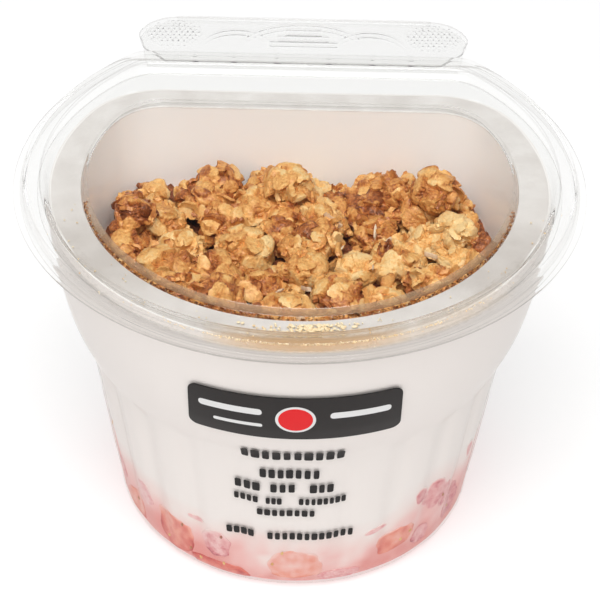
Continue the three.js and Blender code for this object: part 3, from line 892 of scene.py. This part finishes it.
def yogurt_fill():
    """Yogurt from the strawberry layer to the tray's flange, reaching just into both walls."""
    inset = YOGURT_INSET
    top = YOGURT_TOP
    tray = lambda r, z: ring(r - INTO_WALL, r - INTO_WALL - BACK_CUT, TRAY_CORNER, z)
    heights = [z for z in wall_heights() if 24 < z < top]
    return turned([
        pole(FRUIT_TOP_Z + 0.1),
        *[border_ring(part / 8, 0.1, inset) for part in range(1, 8)],
        *[border_ring(1, lift, inset) for lift in (0, 0.6, 1.2, 1.8, 2.5, 3.3, 4.2)],
        *[cup_ring(z, inset) for z in heights],
        cup_ring(top, inset),
        cup_ring(top, inset + 0.4),
        tray(TRAY_MOUTH_R, top),
        tray(TRAY_MOUTH_R - 0.05, top - 0.5),
        *[tray(tray_radius(z), z) for z in (60, 52, 44, TRAY_SIDE_FOOT_Z)],
        tray(TRAY_EDGE_R, TRAY_FLOOR_Z + TRAY_EDGE_RISE + INTO_WALL),
        tray(TRAY_FLOOR_R, TRAY_FLOOR_Z + INTO_WALL),
        pole(TRAY_FLOOR_Z + INTO_WALL),
    ])


def strawberry_layer_fill():
    inset = YOGURT_INSET
    heights = [z for z in wall_heights() if 0.8 < z < 11]
    return turned([
        pole(inset),
        cup_ring(inset, inset),
        *[cup_ring(z, inset) for z in heights],
        *[border_ring(1, lift, inset) for lift in (-1.2, -0.6, 0)],
        *[border_ring(part / 8, 0, inset) for part in range(7, 0, -1)],
        pole(FRUIT_TOP_Z),
    ])


def fruit_piece(turn, z, width, tall, lean, ripe, seed, subdivisions=5):
    """Soft cut lump of strawberry pressed to the wall, and the ripeness of each of its points."""
    azimuth = math.radians(turn - 90)
    inset = FRUIT_INSET
    deep = inside_cup(azimuth, z, CUP_WALL) - FRUIT_DEEP * FRUIT_SUNK
    tip = math.radians(lean)
    ripe = RIPE_FROM + (1 - RIPE_FROM) * ripe
    bm = ball(subdivisions)
    ripeness = []
    for vert in bm.verts:
        way = vert.co.normalized()
        ragged = 1 + 0.16 * noise.noise(way * 1.7 + Vector((seed, 0, 0)))
        ragged += 0.06 * noise.noise(way * 4.5 + Vector((0, seed, 0)))
        squared = way / max(abs(way.y), abs(way.z), 0.62 * abs(way.x) + 0.3) ** 0.35
        y, up = squared.y * ragged * width / 2, squared.z * ragged * tall / 2
        y, up = y * math.cos(tip) - up * math.sin(tip), y * math.sin(tip) + up * math.cos(tip)
        out = deep + squared.x * ragged * FRUIT_DEEP
        height = z + up
        around = azimuth + y / max(out, 1)
        limit = inside_cup(around, max(height, inset), inset)
        heart = 0.06 * (1 - smoothstep(math.hypot(way.y, way.z), 0.1, 0.75))
        flecks = 0.12 * noise.noise(Vector((y * 0.8, up * 0.5, seed)))
        edge = math.hypot(way.y, way.z) + 0.2 * noise.noise(Vector((y * 0.4, up * 0.4, -seed)))
        veil = smoothstep(edge, 0.62, 0.92)
        around_it = wall_share(around, max(height, inset))
        ripeness.append(unit((ripe - heart + flecks) * (1 - veil) + around_it * veil))
        vert.co = polar(min(out, limit), around, max(height, inset))
    return face_out(bm), ripeness


def fruit_seeds():
    """Small seeds at the wall, on the strawberry pieces that show most."""
    rng = random.Random(5)
    seeds = []
    spots = [(-43.5, 4.6), (-34, 4.9), (-30.5, 3.4), (36, 8), (-71, 21), (-3, 10), (-22, 4.2)]
    for turn, z, width, tall, _, _ in FRUIT_PIECES:
        spots.append((turn + rng.uniform(-0.4, 0.4) * width * 1.7, z + rng.uniform(-0.35, 0.35) * tall))
    for turn, z in spots:
        azimuth = math.radians(turn - 90)
        bm = ball(2)
        lean = rng.uniform(-0.5, 0.5)
        for vert in bm.verts:
            vert.co = (vert.co.x * 0.12, vert.co.y * 0.26 * (1 - 0.4 * vert.co.z), vert.co.z * 0.42)
        swing(bm, lean, "X")
        swing(bm, azimuth, "Z")
        reach = inside_cup(azimuth, max(z, 1), FRUIT_INSET - 0.02)
        bmesh.ops.translate(bm, verts=bm.verts, vec=polar(reach, azimuth, max(z, 1)))
        seeds.append((bm, rng.random()))
    return joined(seeds)


# -------------------- the granola


def tray_inside(azimuth, z, inset):
    """Polar radius inside the tray's wall."""
    round_r = tray_radius(z) - TRAY_WALL - inset
    return rounded_d(azimuth, round_r, round_r - BACK_CUT, TRAY_CORNER - 1)


def keep_in_tray(bm):
    """Points that would stand through the tray's wall or the lid are pressed back inside."""
    for vert in bm.verts:
        x, y, z = vert.co
        azimuth = math.atan2(y, x)
        limit = tray_inside(azimuth, z, 0.15)
        reach = math.hypot(x, y)
        if reach > limit:
            vert.co.x, vert.co.y = x * limit / reach, y * limit / reach
        vert.co.z = min(z, HEAP_TOP_Z)
    return bm


def heap_height(x, y):
    return HEAP_Z + HEAP_WAVE * math.sin(x / 7 + 1) * math.cos(y / 6)


def heap_tone(place):
    """The heap is browner at its left, more golden at its right and uneven between."""
    wave = 0.16 * math.cos(2 * math.pi * (place.x - 17) / 28)
    return 0.02 - wave - 0.24 * smoothstep(-place.x, 13, 24) + 0.22 * smoothstep(place.x, 21, 28)


def cluster_places():
    """Places, sizes, widths and turns of the big clusters, the same as the frame's."""
    state = 11

    def draw():
        nonlocal state
        state = (state * 1664525 + 1013904223) % 4294967296
        return state / 4294967296

    places = []
    for i in range(CLUSTER_COUNT):
        size = CLUSTER_MIN_R + (CLUSTER_MAX_R - CLUSTER_MIN_R) * draw()
        azimuth = i * SPIRAL_STEP
        round_r = tray_radius(HEAP_Z) - TRAY_WALL - 0.35 - size * 0.7
        edge = rounded_d(azimuth, round_r, round_r - BACK_CUT, TRAY_CORNER)
        reach = edge * math.sqrt((i + 0.5) / CLUSTER_COUNT)
        x, y, _ = polar(reach, azimuth)
        z = heap_height(x, y) + HEAP_LIFT * draw()
        for _ in range(CLUSTER_WIDTH_DRAWS):
            draw()
        width = 0.85 + 0.3 * draw()
        turn = 2 * math.pi * draw()
        places.append((Vector((x, y, z)), size, width, turn))
    return places


def pressed_oats(rng, tone):
    """Oats pressed into a cluster of radius 1: middle, frame, half sizes and tone of each."""
    oats = []
    for _ in range(OATS_PRESSED):
        way = random_way(rng, -0.5)
        facing = (way + random_way(rng) * rng.uniform(0.1, 0.75)).normalized()
        spin = Matrix.Rotation(rng.uniform(0, 2 * math.pi), 3, "Z")
        local = (facing.to_track_quat("Z", "Y").to_matrix() @ spin).transposed()
        long = rng.uniform(0.3, 0.52)
        half = Vector((long, long * rng.uniform(0.5, 0.75), rng.uniform(0.07, 0.13)))
        own = unit(tone + rng.uniform(-0.25, 0.3))
        oats.append((way * rng.uniform(0.74, 0.93), local, half, own))
    return oats


def cluster_reach(way, offset, oats):
    """Radius of a cluster in one direction, and its tone there: crumbs with oats standing out."""
    swell = noise.noise(way * 1.4 + offset)
    crags = noise.turbulence(way * 3.6 + offset, 3, True)
    reach, tone = 0.76 + 0.2 * swell + 0.16 * (crags - 0.5), None
    for middle, local, half, own in oats:
        if way.dot(middle) < 0.45:
            continue
        start, run = local @ -middle, local @ way
        start = Vector((start.x / half.x, start.y / half.y, start.z / half.z))
        run = Vector((run.x / half.x, run.y / half.y, run.z / half.z))
        a, b, c = run.dot(run), start.dot(run), start.dot(start) - 1
        inside = b * b - a * c
        if inside > 0:
            far = (-b + math.sqrt(inside)) / a
            if far > reach:
                reach, tone = far, own - 0.25 * (1 - min(inside / (0.3 * a), 1))
    return reach, tone


def cluster_frame(place, width, turn):
    """Matrix that squashes, turns and places a cluster."""
    squash = Matrix.Diagonal((1, width, CLUSTER_SQUASH, 1))
    return Matrix.Translation(place) @ Matrix.Rotation(turn, 4, "Z") @ squash


def cluster_body(place, size, width, turn, offset, oats, tone, subdivisions):
    """Cluster of oats and crumbs, with a tone for each of its points."""
    bm = ball(subdivisions)
    tones = []
    for vert in bm.verts:
        way = vert.co.normalized()
        reach, own = cluster_reach(way, offset, oats)
        # The same grit dents each point and darkens its tone: a real bumpy relief, with painted shade in its
        # small hollows.
        grit_and_shade = 0.02 * noise.noise(way * 14 + offset)
        tones.append(unit(tone - 0.18 + 2.5 * grit_and_shade if own is None else own))
        vert.co = way * (reach + grit_and_shade) * size
    bmesh.ops.transform(bm, matrix=cluster_frame(place, width, turn), verts=bm.verts)
    return keep_in_tray(bm), tones


def oat_flake(rng, long, broad, place, facing, tone):
    """Rolled oat with a tone for each point: ragged, creased along its middle and a little curled."""
    bm = grid(8, 6)
    curl, twist = rng.uniform(-0.2, 0.25), rng.uniform(-0.2, 0.2)
    offset = random_way(rng) * 30
    for vert in bm.verts:
        u, v = vert.co.x, vert.co.y
        rim = max(abs(u), abs(v)) ** 3
        x = u * math.sqrt(1 - v * v / 2) + rim * rng.uniform(-0.12, 0.12)
        y = v * math.sqrt(1 - u * u / 2) + rim * rng.uniform(-0.16, 0.16)
        groove = 0.1 * (abs(v) < 0.2) * (1 - u * u)
        crinkle = 0.13 * noise.noise(Vector((x * 2.2, y * 2.2, 0)) + offset)
        z = curl * (x * x + y * y) + twist * x * y - groove + crinkle
        vert.co = (x * long / 2, y * broad / 2, z * long / 2)
    lower = bmesh.ops.extrude_face_region(bm, geom=bm.faces[:], use_keep_orig=True)["geom"]
    lower = [part for part in lower if isinstance(part, bmesh.types.BMVert)]
    bmesh.ops.translate(bm, verts=lower, vec=(0, 0, -rng.uniform(0.5, 0.95)))
    bmesh.ops.recalc_face_normals(bm, faces=bm.faces)
    tones = []
    for vert in bm.verts:
        rim = max(abs(vert.co.x) * 2 / long, abs(vert.co.y) * 2 / broad) ** 4
        tones.append(unit(tone - 0.22 * min(rim, 1) + rng.uniform(-0.05, 0.05)))
    spin = Matrix.Rotation(rng.uniform(0, 2 * math.pi), 4, "Z")
    aim = facing.normalized().to_track_quat("Z", "Y").to_matrix().to_4x4()
    bmesh.ops.transform(bm, matrix=Matrix.Translation(place) @ aim @ spin, verts=bm.verts)
    return keep_in_tray(bm), tones


def random_way(rng, lowest=-1.0):
    """Even random direction, not below a given steepness."""
    up = rng.uniform(lowest, 1)
    around = rng.uniform(0, 2 * math.pi)
    return Vector(polar(math.sqrt(1 - up * up), around, up))


def heap_spot(rng, inset):
    """Random place on the heap, even over the tray's mouth."""
    azimuth = rng.uniform(-math.pi, math.pi)
    return Vector(polar(tray_inside(azimuth, HEAP_Z, inset) * math.sqrt(rng.random()), azimuth))


def granola():
    """The heap's brown, golden and small clusters, oat flakes, crumbs and pale slivers, by kind."""
    rng = random.Random(21)
    brown, golden, small, flakes, crumbs, slivers = [], [], [], [], [], []
    for place, size, width, turn in cluster_places() + PEAK_CLUSTERS:
        offset = random_way(rng) * 40
        tone = rng.choice((rng.uniform(0.34, 0.56), rng.uniform(0.56, 0.88)))
        tone += heap_tone(place)
        pressed = pressed_oats(rng, tone)
        body = cluster_body(place, size * CLUSTER_GROWN, width, turn, offset, pressed, tone, 5)
        (golden if tone > GOLDEN_FROM else brown).append(body)
        fit = cluster_frame(place, width, turn)
        for _ in range(FLAKES_EACH):
            way = random_way(rng, -0.2)
            spot = fit @ (way * cluster_reach(way, offset, [])[0] * size * rng.uniform(0.95, 1.15))
            facing = way + random_way(rng) * rng.uniform(0.3, 1.1)
            long = rng.uniform(2.8, 5)
            flakes.append(oat_flake(rng, long, long * rng.uniform(0.5, 0.75), spot, facing,
                                    min(max(tone + rng.uniform(-0.15, 0.35), 0.2), 1)))
    for i in range(SMALL_COUNT):
        spot = heap_spot(rng, 2)
        if i < SMALL_AT_WALL:
            azimuth = (i + rng.uniform(-0.3, 0.3)) * 2 * math.pi / SMALL_AT_WALL
            spot = Vector(polar(tray_inside(azimuth, HEAP_Z, rng.uniform(2, 3.5)), azimuth))
        spot.z = heap_height(spot.x, spot.y) + rng.uniform(0, 3)
        size = rng.uniform(1.8, 3.2)
        offset = random_way(rng) * 40
        tone = rng.uniform(0.25, 0.85)
        small.append(cluster_body(spot, size, rng.uniform(0.8, 1.1), rng.uniform(0, 6.3), offset,
                                  pressed_oats(rng, tone)[:14], tone, 4))
    for _ in range(LOOSE_FLAKES):
        spot = heap_spot(rng, 2.5)
        spot.z = heap_height(spot.x, spot.y) + rng.uniform(1.5, 4)
        long = rng.uniform(3, 5.6)
        flakes.append(oat_flake(rng, long, long * rng.uniform(0.5, 0.75), spot, random_way(rng, 0.1),
                                rng.uniform(0.35, 0.95)))
    for _ in range(CRUMB_COUNT):
        spot = heap_spot(rng, 2)
        spot.z = heap_height(spot.x, spot.y) + rng.uniform(-0.5, 1.5)
        bm = ball(2, rng.uniform(0.4, 1.1))
        offset = random_way(rng) * 40
        for vert in bm.verts:
            vert.co *= 0.9 + 0.7 * noise.noise(vert.co.normalized() * 1.8 + offset)
        bmesh.ops.translate(bm, verts=bm.verts, vec=spot)
        crumbs.append((keep_in_tray(bm), rng.uniform(0.1, 0.8)))
    for _ in range(SLIVER_COUNT):
        spot = heap_spot(rng, 5)
        spot.x = abs(spot.x + 6) - 6
        spot.z = heap_height(spot.x, spot.y) + rng.uniform(3.2, 4.4)
        long = rng.uniform(2, 3.6)
        slivers.append(oat_flake(rng, long, rng.uniform(0.24, 0.4), spot, random_way(rng, 0.75),
                                 rng.uniform(0.5, 1)))
    return [joined(kind) for kind in (brown, golden, small, flakes, crumbs, slivers)]


def granola_core():
    """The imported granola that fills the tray, with its own crumbly relief between the clusters."""
    def top(part):
        def place(azimuth):
            radius = part * tray_inside(azimuth, HEAP_Z, -INTO_WALL)
            x, y, _ = polar(radius, azimuth)
            crags = noise.noise(Vector((x, y, 0)) * 0.42) + 0.5 * noise.noise(Vector((x, y, 7)) * 1.1)
            return radius, heap_height(x, y) - CORE_SUNK + CORE_CRAGS * crags
        return place

    foot = TRAY_FLOOR_Z + TRAY_WALL - INTO_WALL
    side_heights = (TRAY_SIDE_FOOT_Z, 44, 48)
    return turned([
        pole(foot),
        ring(TRAY_FLOOR_R, TRAY_FLOOR_R - BACK_CUT, TRAY_CORNER, foot),
        *[lambda azimuth, z=z: (tray_inside(azimuth, z, -INTO_WALL), z) for z in side_heights],
        *[top(1 - i / CORE_RINGS) for i in range(CORE_RINGS)],
        pole(heap_height(0, 0) - CORE_SUNK),
    ])


def speck(rng, turn, reach, z, size, flat=1.0):
    """Small crumb at a turn, a polar radius and a height."""
    bm = ball(1, size)
    bmesh.ops.scale(bm, vec=(1, rng.uniform(0.5, 1), flat), verts=bm.verts)
    swing(bm, rng.uniform(0, 6.3), "Z")
    bmesh.ops.translate(bm, verts=bm.verts, vec=polar(reach, math.radians(turn - 90), z))
    return bm


def granola_dust():
    """Pale dust between the tray's flange and the lid, thickest at the front."""
    rng = random.Random(31)
    # Number, smallest and largest size, height at most, darkest tone, turn and polar radius.
    sorts = [
        (260, 0.12, 0.4, 0.14, 0.3, lambda: rng.gauss(3, 5.5), lambda: rng.uniform(39.6, 42.3)),
        (340, 0.06, 0.17, 0.16, 0.3, lambda: rng.gauss(5, 16), lambda: rng.gauss(44.7, 0.14)),
        (70, 0.08, 0.2, 0.14, 0, lambda: rng.uniform(-80, 80), lambda: rng.uniform(39.5, 46.5)),
    ]
    specks = []
    for count, least, most, low, darkest, turn, reach in sorts:
        for _ in range(count):
            size = rng.uniform(least, most)
            crumb = speck(rng, turn(), reach(), RIM_Z + TRAY_FLANGE_TOP + 0.13, size, min(1, low / size))
            specks.append((crumb, rng.uniform(darkest, 1)))
    return joined(specks)


def dust_and_refraction_film(start, end, turn_half, dense):
    """Thin film between two points of a profile, round the front of the lid: toasted dust, and on the
    shoulder also painted refraction.

    dense gives its tone, and with it its density, from -1 to 1 round the front and from 0 to 1 along
    the profile.
    """
    bm = grid(160, 8)
    bmesh.ops.solidify(bm, geom=bm.faces[:], thickness=FILM_THICK)
    along = (end - start).normalized()
    across = Vector((-along.y, along.x))
    tones = []
    for vert in bm.verts:
        azimuth = math.radians(-90 + turn_half * vert.co.x)
        part = (vert.co.y + 1) / 2
        tones.append(dense(vert.co.x, part))
        at = start.lerp(end, part) + across * vert.co.z
        vert.co = polar(at.x, azimuth, RIM_Z + at.y)
    return joined([(face_out(bm), tones)])


def shoulder_film():
    """Granola dust on the inside of the lid's shoulder, with painted refraction of the granola seen through
    the sloped shoulder: denser and darker towards its foot.
    """
    top = Vector((SHOULDER_R - LID_WALL - 0.08, SHOULDER_RISE - LID_WALL - 0.05))
    foot = Vector((TRAY_MOUTH_R - LID_WALL - 0.08, -LID_WALL + 0.05))
    return dust_and_refraction_film(top, foot, 88, lambda u, part: (0.5 + 0.5 * part) * (1 - smoothstep(abs(u), 0.6, 1)))


def ring_film():
    """Dust under the lid's ring, over the tray's flange: most at the middle, a thin trail to the right."""
    inner = Vector((42, TRAY_FLANGE_TOP + FILM_LIFT))
    outer = Vector((47, TRAY_FLANGE_TOP + FILM_LIFT))

    def dense(u, part):
        trail = 0.2 * smoothstep(u, 0.15, 0.45) * (1 - smoothstep(u, 0.6, 0.9))
        return (0.82 * max(1 - ((u - 0.03) / 0.37) ** 2, 0) + trail) * math.sin(math.pi * part) ** 0.5

    return dust_and_refraction_film(inner, outer, 62, dense)


def mouth_specks(seed, count, largest, tone):
    """Specks caught at the tray's mouth, under the foot of the lid's raised middle."""
    rng = random.Random(seed)
    specks = []
    for _ in range(count):
        turn = rng.uniform(-80, 80)
        size = 0.05 + (largest - 0.05) * rng.random() ** 2
        reach = tray_inside(math.radians(turn - 90), RIM_Z + TRAY_FLANGE_BOTTOM, size + rng.uniform(0, 0.4))
        z = RIM_Z + TRAY_FLANGE_TOP - rng.uniform(0.1, 1.3)
        specks.append((speck(rng, turn, reach, z, size), tone(rng)))
    return joined(specks)


# -------------------- camera, light and floor


def camera():
    data = bpy.data.cameras.new("camera")
    data.lens = CAMERA_LENS
    data.sensor_width = 36
    data.clip_start = 0.01
    data.clip_end = 20
    view = in_scene("camera", data)
    back = Vector((0, -math.cos(CAMERA_PITCH), math.sin(CAMERA_PITCH)))
    view.location = (Vector(CAMERA_TARGET) + back * CAMERA_DISTANCE) * MM
    turn = back.to_track_quat("Z", "Y").to_matrix().to_4x4()
    roll = Matrix.Rotation(CAMERA_ROLL, 4, "Z")
    view.rotation_euler = (turn @ roll).to_euler()
    bpy.context.scene.camera = view


def softbox(name, place_mm, target_mm, size_mm, watts):
    data = bpy.data.lights.new(name, "AREA")
    data.shape = "RECTANGLE"
    data.size, data.size_y = size_mm[0] * MM, size_mm[1] * MM
    data.energy = watts
    lamp = in_scene(name, data)
    lamp.location = Vector(place_mm) * MM
    toward = Vector(target_mm) - Vector(place_mm)
    lamp.rotation_euler = toward.to_track_quat("-Z", "Y").to_euler()


def studio():
    """White surroundings, darker where the lid would mirror them, a soft lamp overhead and a floor."""
    world = bpy.data.worlds.new("studio")
    world.use_nodes = True
    nodes, links = world.node_tree.nodes, world.node_tree.links
    way = nodes.new("ShaderNodeTexCoord")
    toward = nodes.new("ShaderNodeVectorMath")
    toward.operation = "DOT_PRODUCT"
    toward.inputs[1].default_value = (0, math.cos(CAMERA_PITCH), math.sin(CAMERA_PITCH))
    links.new(way.outputs["Generated"], toward.inputs[0])
    shade = nodes.new("ShaderNodeMapRange")
    shade.interpolation_type = "SMOOTHSTEP"
    put(shade, From_Min=0.72, From_Max=0.97, To_Min=WORLD_STRENGTH, To_Max=WORLD_STRENGTH * 0.25)
    links.new(toward.outputs["Value"], shade.inputs["Value"])
    put(nodes["Background"], Color=(1, 1, 1, 1))
    links.new(shade.outputs[0], nodes["Background"].inputs["Strength"])
    bpy.context.scene.world = world
    softbox("key", (-30, -260, 620), (0, 0, 40), (460, 360), 3.6)
    pale, _, _, shader = new_material("floor")
    put(shader, Base_Color=(0.55, 0.55, 0.55, 1), Roughness=0.95, Emission_Color=(1, 1, 1, 1),
        Emission_Strength=0.53)
    floor = to_object(grid(1, 1, 3000), "floor", pale, smooth=False)
    floor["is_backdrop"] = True
    bpy.context.scene.view_settings.view_transform = "Standard"


# -------------------- putting it together

camera()
studio()

CLOUDY = cloudy_group()
# Painted shade: the grey of the fine lines at the plastic's cut edges and folds.
EDGE_SHADE_GREY = (0.27, 0.25, 0.23)
PLASTIC = clear_plastic("clear_plastic", 1.03, (0.78, 0.77, 0.755))
CUP_PLASTIC = clear_plastic("cup_plastic", 1.005, (0.84, 0.83, 0.815))
STRIP_PLASTIC = clear_plastic("strip_plastic", 1.1, (0.78, 0.775, 0.77))
CREAM = (0.835, 0.772, 0.737)
# Painted light: the yogurt's cream, made brighter for its bed behind the tray.
PAINTED_LIGHT_CREAM = (0.985, 0.97, 0.955)
# The wall's cream turns to pink, and fruit at the wall fades into the same colours.
PINKISH = [(0.2, CREAM), (0.27, CREAM), (0.48, (0.83, 0.65, 0.61))]
# The lowest shares are painted grey shade on the yogurt's bed under the tray's flange. Next comes the bed at
# the tray, in a cream brightened as painted light.
SHADE_AND_LIGHT_CREAMS = [
    (0, (0.58, 0.54, 0.51)), (0.05, (0.77, 0.735, 0.71)), (0.09, PAINTED_LIGHT_CREAM), (0.15, PAINTED_LIGHT_CREAM),
]
YOGURT = mottled("yogurt", "share", (6, 0.06), (0.8, 0.02), SHADE_AND_LIGHT_CREAMS + PINKISH + [
    (0.7, (0.81, 0.46, 0.43)), (1, (0.73, 0.27, 0.24)),
], 0.4)
FRUIT = mottled("strawberry", "tone", (1.8, 0.16), (0.35, 0.08), PINKISH + [
    (0.66, (0.82, 0.44, 0.38)), (0.8, (0.77, 0.28, 0.2)), (0.9, (0.68, 0.15, 0.11)), (1, (0.5, 0.06, 0.05)),
], 0.35, 0.08)
PURPLE_FRUIT = mottled("purple_strawberry", "tone", (1.1, 0.34), (0.35, 0.26), PINKISH + [
    (0.66, (0.8, 0.46, 0.45)), (0.8, (0.7, 0.28, 0.28)), (0.9, (0.6, 0.15, 0.17)), (1, (0.42, 0.06, 0.08)),
], 0.35, 0.1)
SEED = mottled("strawberry_seed", "tone", (0.6, 0.2), (0.2, 0.1), [
    (0, (0.3, 0.08, 0.05)), (0.5, (0.55, 0.26, 0.06)), (1, (0.75, 0.5, 0.2)),
], 0.35)
TOASTED = [
    (0, (0.15, 0.035, 0.01)), (0.22, (0.4, 0.12, 0.03)), (0.45, (0.64, 0.28, 0.075)),
    (0.7, (0.82, 0.46, 0.155)), (1, (0.88, 0.63, 0.3)),
]
CLUSTER = mottled("granola_cluster", "tone", (2.4, 0.8), (0.5, 0.8), TOASTED, 0.42, 0.35, glaze=0.15)
OAT = mottled("oat_flake", "tone", (2, 0.6), (0.4, 0.6), TOASTED, 0.42, 0.2, glaze=0.12)
# Painted shade: the core's near-darkest brown stands for the shade in the deep gaps between the clusters.
SHADED_CORE = mottled("granola_core", 0.05, (3, 0.4), (0.5, 0.4), TOASTED, 0.7, 0.4)
# Partly painted refraction: the tan of the granola seen through the lid's sloped shoulder, together with
# granola dust.
DUST_AND_REFRACTION = mottled("dust_and_refraction_film", "tone", (1.5, 0.35), (0.3, 0.4), [
    (0, (0.62, 0.48, 0.35)), (0.5, (0.56, 0.37, 0.22)), (1, (0.26, 0.13, 0.055)),
], 0.5, alpha=(0, 0.68))
GOLDEN_FILM = mottled("golden_film", "tone", (1.5, 0.25), (0.3, 0.2), [
    (0, (0.82, 0.64, 0.45)), (0.5, (0.72, 0.49, 0.28)), (1, (0.58, 0.35, 0.16)),
], 0.5, alpha=(0, 0.75))
GOLDEN_DUST = mottled("golden_dust", "tone", (2, 0.3), (0.3, 0.25), [
    (0, (0.8, 0.52, 0.24)), (1, (0.97, 0.85, 0.6)),
], 0.5, 0.08)
SUGAR = mottled("sugar", "tone", (0.8, 0.3), (0.2, 0.2), [
    (0, (0.8, 0.66, 0.4)), (1, (0.95, 0.92, 0.86)),
], 0.15)
PALE_OAT = mottled("pale_oat", "tone", (2, 0.3), (0.3, 0.25), [
    (0, (0.75, 0.5, 0.28)), (1, (0.93, 0.84, 0.68)),
], 0.5, 0.08)
DARK_INK, BLACK_INK, RED_INK, WHITE_INK = (
    mottled(name, 0.5, clouds, grain, [(0, dark), (1, light)], roughness, shine=shine)
    for name, clouds, grain, dark, light, roughness, shine in (
        ("dark_ink", (4, 0.3), (0.25, 0.3), (0.014, 0.011, 0.01), (0.026, 0.021, 0.02), 0.5, 0.2),
        ("black_ink", (1, 0.4), (0.15, 0.6), (0.004, 0.003, 0.003), (0.02, 0.016, 0.015), 0.5, 0.2),
        ("red_ink", (2, 0.3), (0.2, 0.3), (0.7, 0.006, 0.008), (0.84, 0.014, 0.018), 0.5, 0.2),
        ("white_ink", (2, 0.3), (0.2, 0.3), (0.7, 0.69, 0.68), (0.82, 0.81, 0.8), 0.35, 0.5),
    )
)

# Fine lines of painted grey shade at cut edges and folds: round radius, straight back, corner radius, half
# width, strength.
CUP_EDGE_SHADE = [(LIP_R, LIP_BACK, LIP_CORNER, 0.06, 0.25)]
TRAY_EDGE_SHADE = [(TRAY_FLANGE_R, TRAY_FLANGE_BACK, TRAY_CORNER, 0.1, 0.4)]
LID_EDGE_SHADE = [
    (FLANGE_R, FLANGE_BACK, LIP_CORNER, 0.06, 0.6),
    (RING_R - RING_WIDTH, RING_BACK - RING_WIDTH, LIP_CORNER, 0.15, 0.4),
    (RING_R, RING_BACK, LIP_CORNER, 0.1, 0.3),
]
add(keep_edge_shade(cup_shell(), CUP_EDGE_SHADE), "cup_shell", CUP_PLASTIC, "cup", "clear_plastic", "cup")
add(keep_edge_shade(tray_shell(), TRAY_EDGE_SHADE), "tray_shell", CUP_PLASTIC, "cup", "clear_plastic", "tray")
add(keep_edge_shade(lid_shell(), LID_EDGE_SHADE), "lid_shell", PLASTIC, "lid", "clear_plastic", "lid")
lower_leaf = strip_leaf(LEAF_LOWER_ROOT_Y, LOWER_ROOT_HALF, STRIP_HALF - LOWER_END_TRIM,
                        STRIP_END_Y - LOWER_END_TRIM, LIP_TOP - STRIP_THICK - LEAF_GAP, 0.12)
add(lower_leaf, "strip_lower_leaf", STRIP_PLASTIC, "cup", "clear_plastic")
upper_leaf = strip_leaf(LEAF_UPPER_ROOT_Y, UPPER_ROOT_HALF, STRIP_HALF, STRIP_END_Y, -LID_WALL, 0.35)
add(upper_leaf, "strip_upper_leaf", STRIP_PLASTIC, "lid", "clear_plastic")
add(strip_fold(), "strip_fold", STRIP_PLASTIC, "cup", "clear_plastic")

add(keep_share(yogurt_fill()), "yogurt_fill", YOGURT, "cup", "yogurt", "yogurt")
add(keep_share(strawberry_layer_fill()), "strawberry_fill", YOGURT, "cup", "strawberry_yogurt",
    "strawberry_layer")
for i, shape in enumerate(FRUIT_PIECES):
    finish = PURPLE_FRUIT if i in PURPLE_PIECES else FRUIT
    add(joined([fruit_piece(*shape, seed=3.7 * i)]), "strawberry_%d" % (i + 1), finish, "cup", "strawberry",
        "strawberry_piece_%d" % (i + 1))
shreds = [(shape[-1], fruit_piece(*shape, 50 + 2.3 * i, 4)) for i, shape in enumerate(FRUIT_SHREDS)]
for name, finish, red in (("purple_shreds", PURPLE_FRUIT, False), ("red_shreds", FRUIT, True)):
    kind = joined([piece for ripe, piece in shreds if (ripe > RED_FROM) == red])
    add(kind, name, finish, "cup", "strawberry")
add(fruit_seeds(), "strawberry_seeds", SEED, "cup", "strawberry")

add(granola_core(), "granola_core", SHADED_CORE, "cup", "granola", "granola")
KINDS = (
    ("brown_clusters", CLUSTER), ("golden_clusters", CLUSTER), ("small_clusters", CLUSTER),
    ("oat_flakes", OAT), ("granola_crumbs", OAT), ("pale_slivers", PALE_OAT),
)
for (name, finish), shape in zip(KINDS, granola()):
    add(shape, name, finish, "cup", "granola")
add(granola_dust(), "granola_dust", GOLDEN_DUST, "cup", "granola")
add(mouth_specks(32, 2200, 0.24, lambda rng: 0.75 * rng.random() ** 2), "mouth_crumbs", OAT, "cup", "granola")
add(mouth_specks(33, 260, 0.13, lambda rng: rng.random()), "mouth_sugar", SUGAR, "cup", "granola")
add(shoulder_film(), "shoulder_dust_and_refraction", DUST_AND_REFRACTION, "lid", "granola")
add(ring_film(), "ring_dust", GOLDEN_FILM, "lid", "granola")

add(band_plate(0.18, INK_LIFT), "band_outline", BLACK_INK, "cup", "print")
add(band_plate(0, INK_LIFT * 2), "band_plate", DARK_INK, "cup", "print", "printed_band")
add(ink_bars(BAND_BARS, INK_LIFT * 3), "band_bars", WHITE_INK, "cup", "print")
add(ink_disc(BAND_DISC[2], INK_LIFT * 3), "disc_ring", WHITE_INK, "cup", "print")
add(ink_disc(BAND_DISC[2] - DISC_EDGE, INK_LIFT * 4), "disc", RED_INK, "cup", "print")
add(ink_blocks(WORD_BLOCKS, INK_LIFT), "word_blocks", BLACK_INK, "cup", "print")

boxes = {"cad": cad_box, "visual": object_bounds()}
{name: [list(corner) for corner in box] for name, box in boxes.items()}
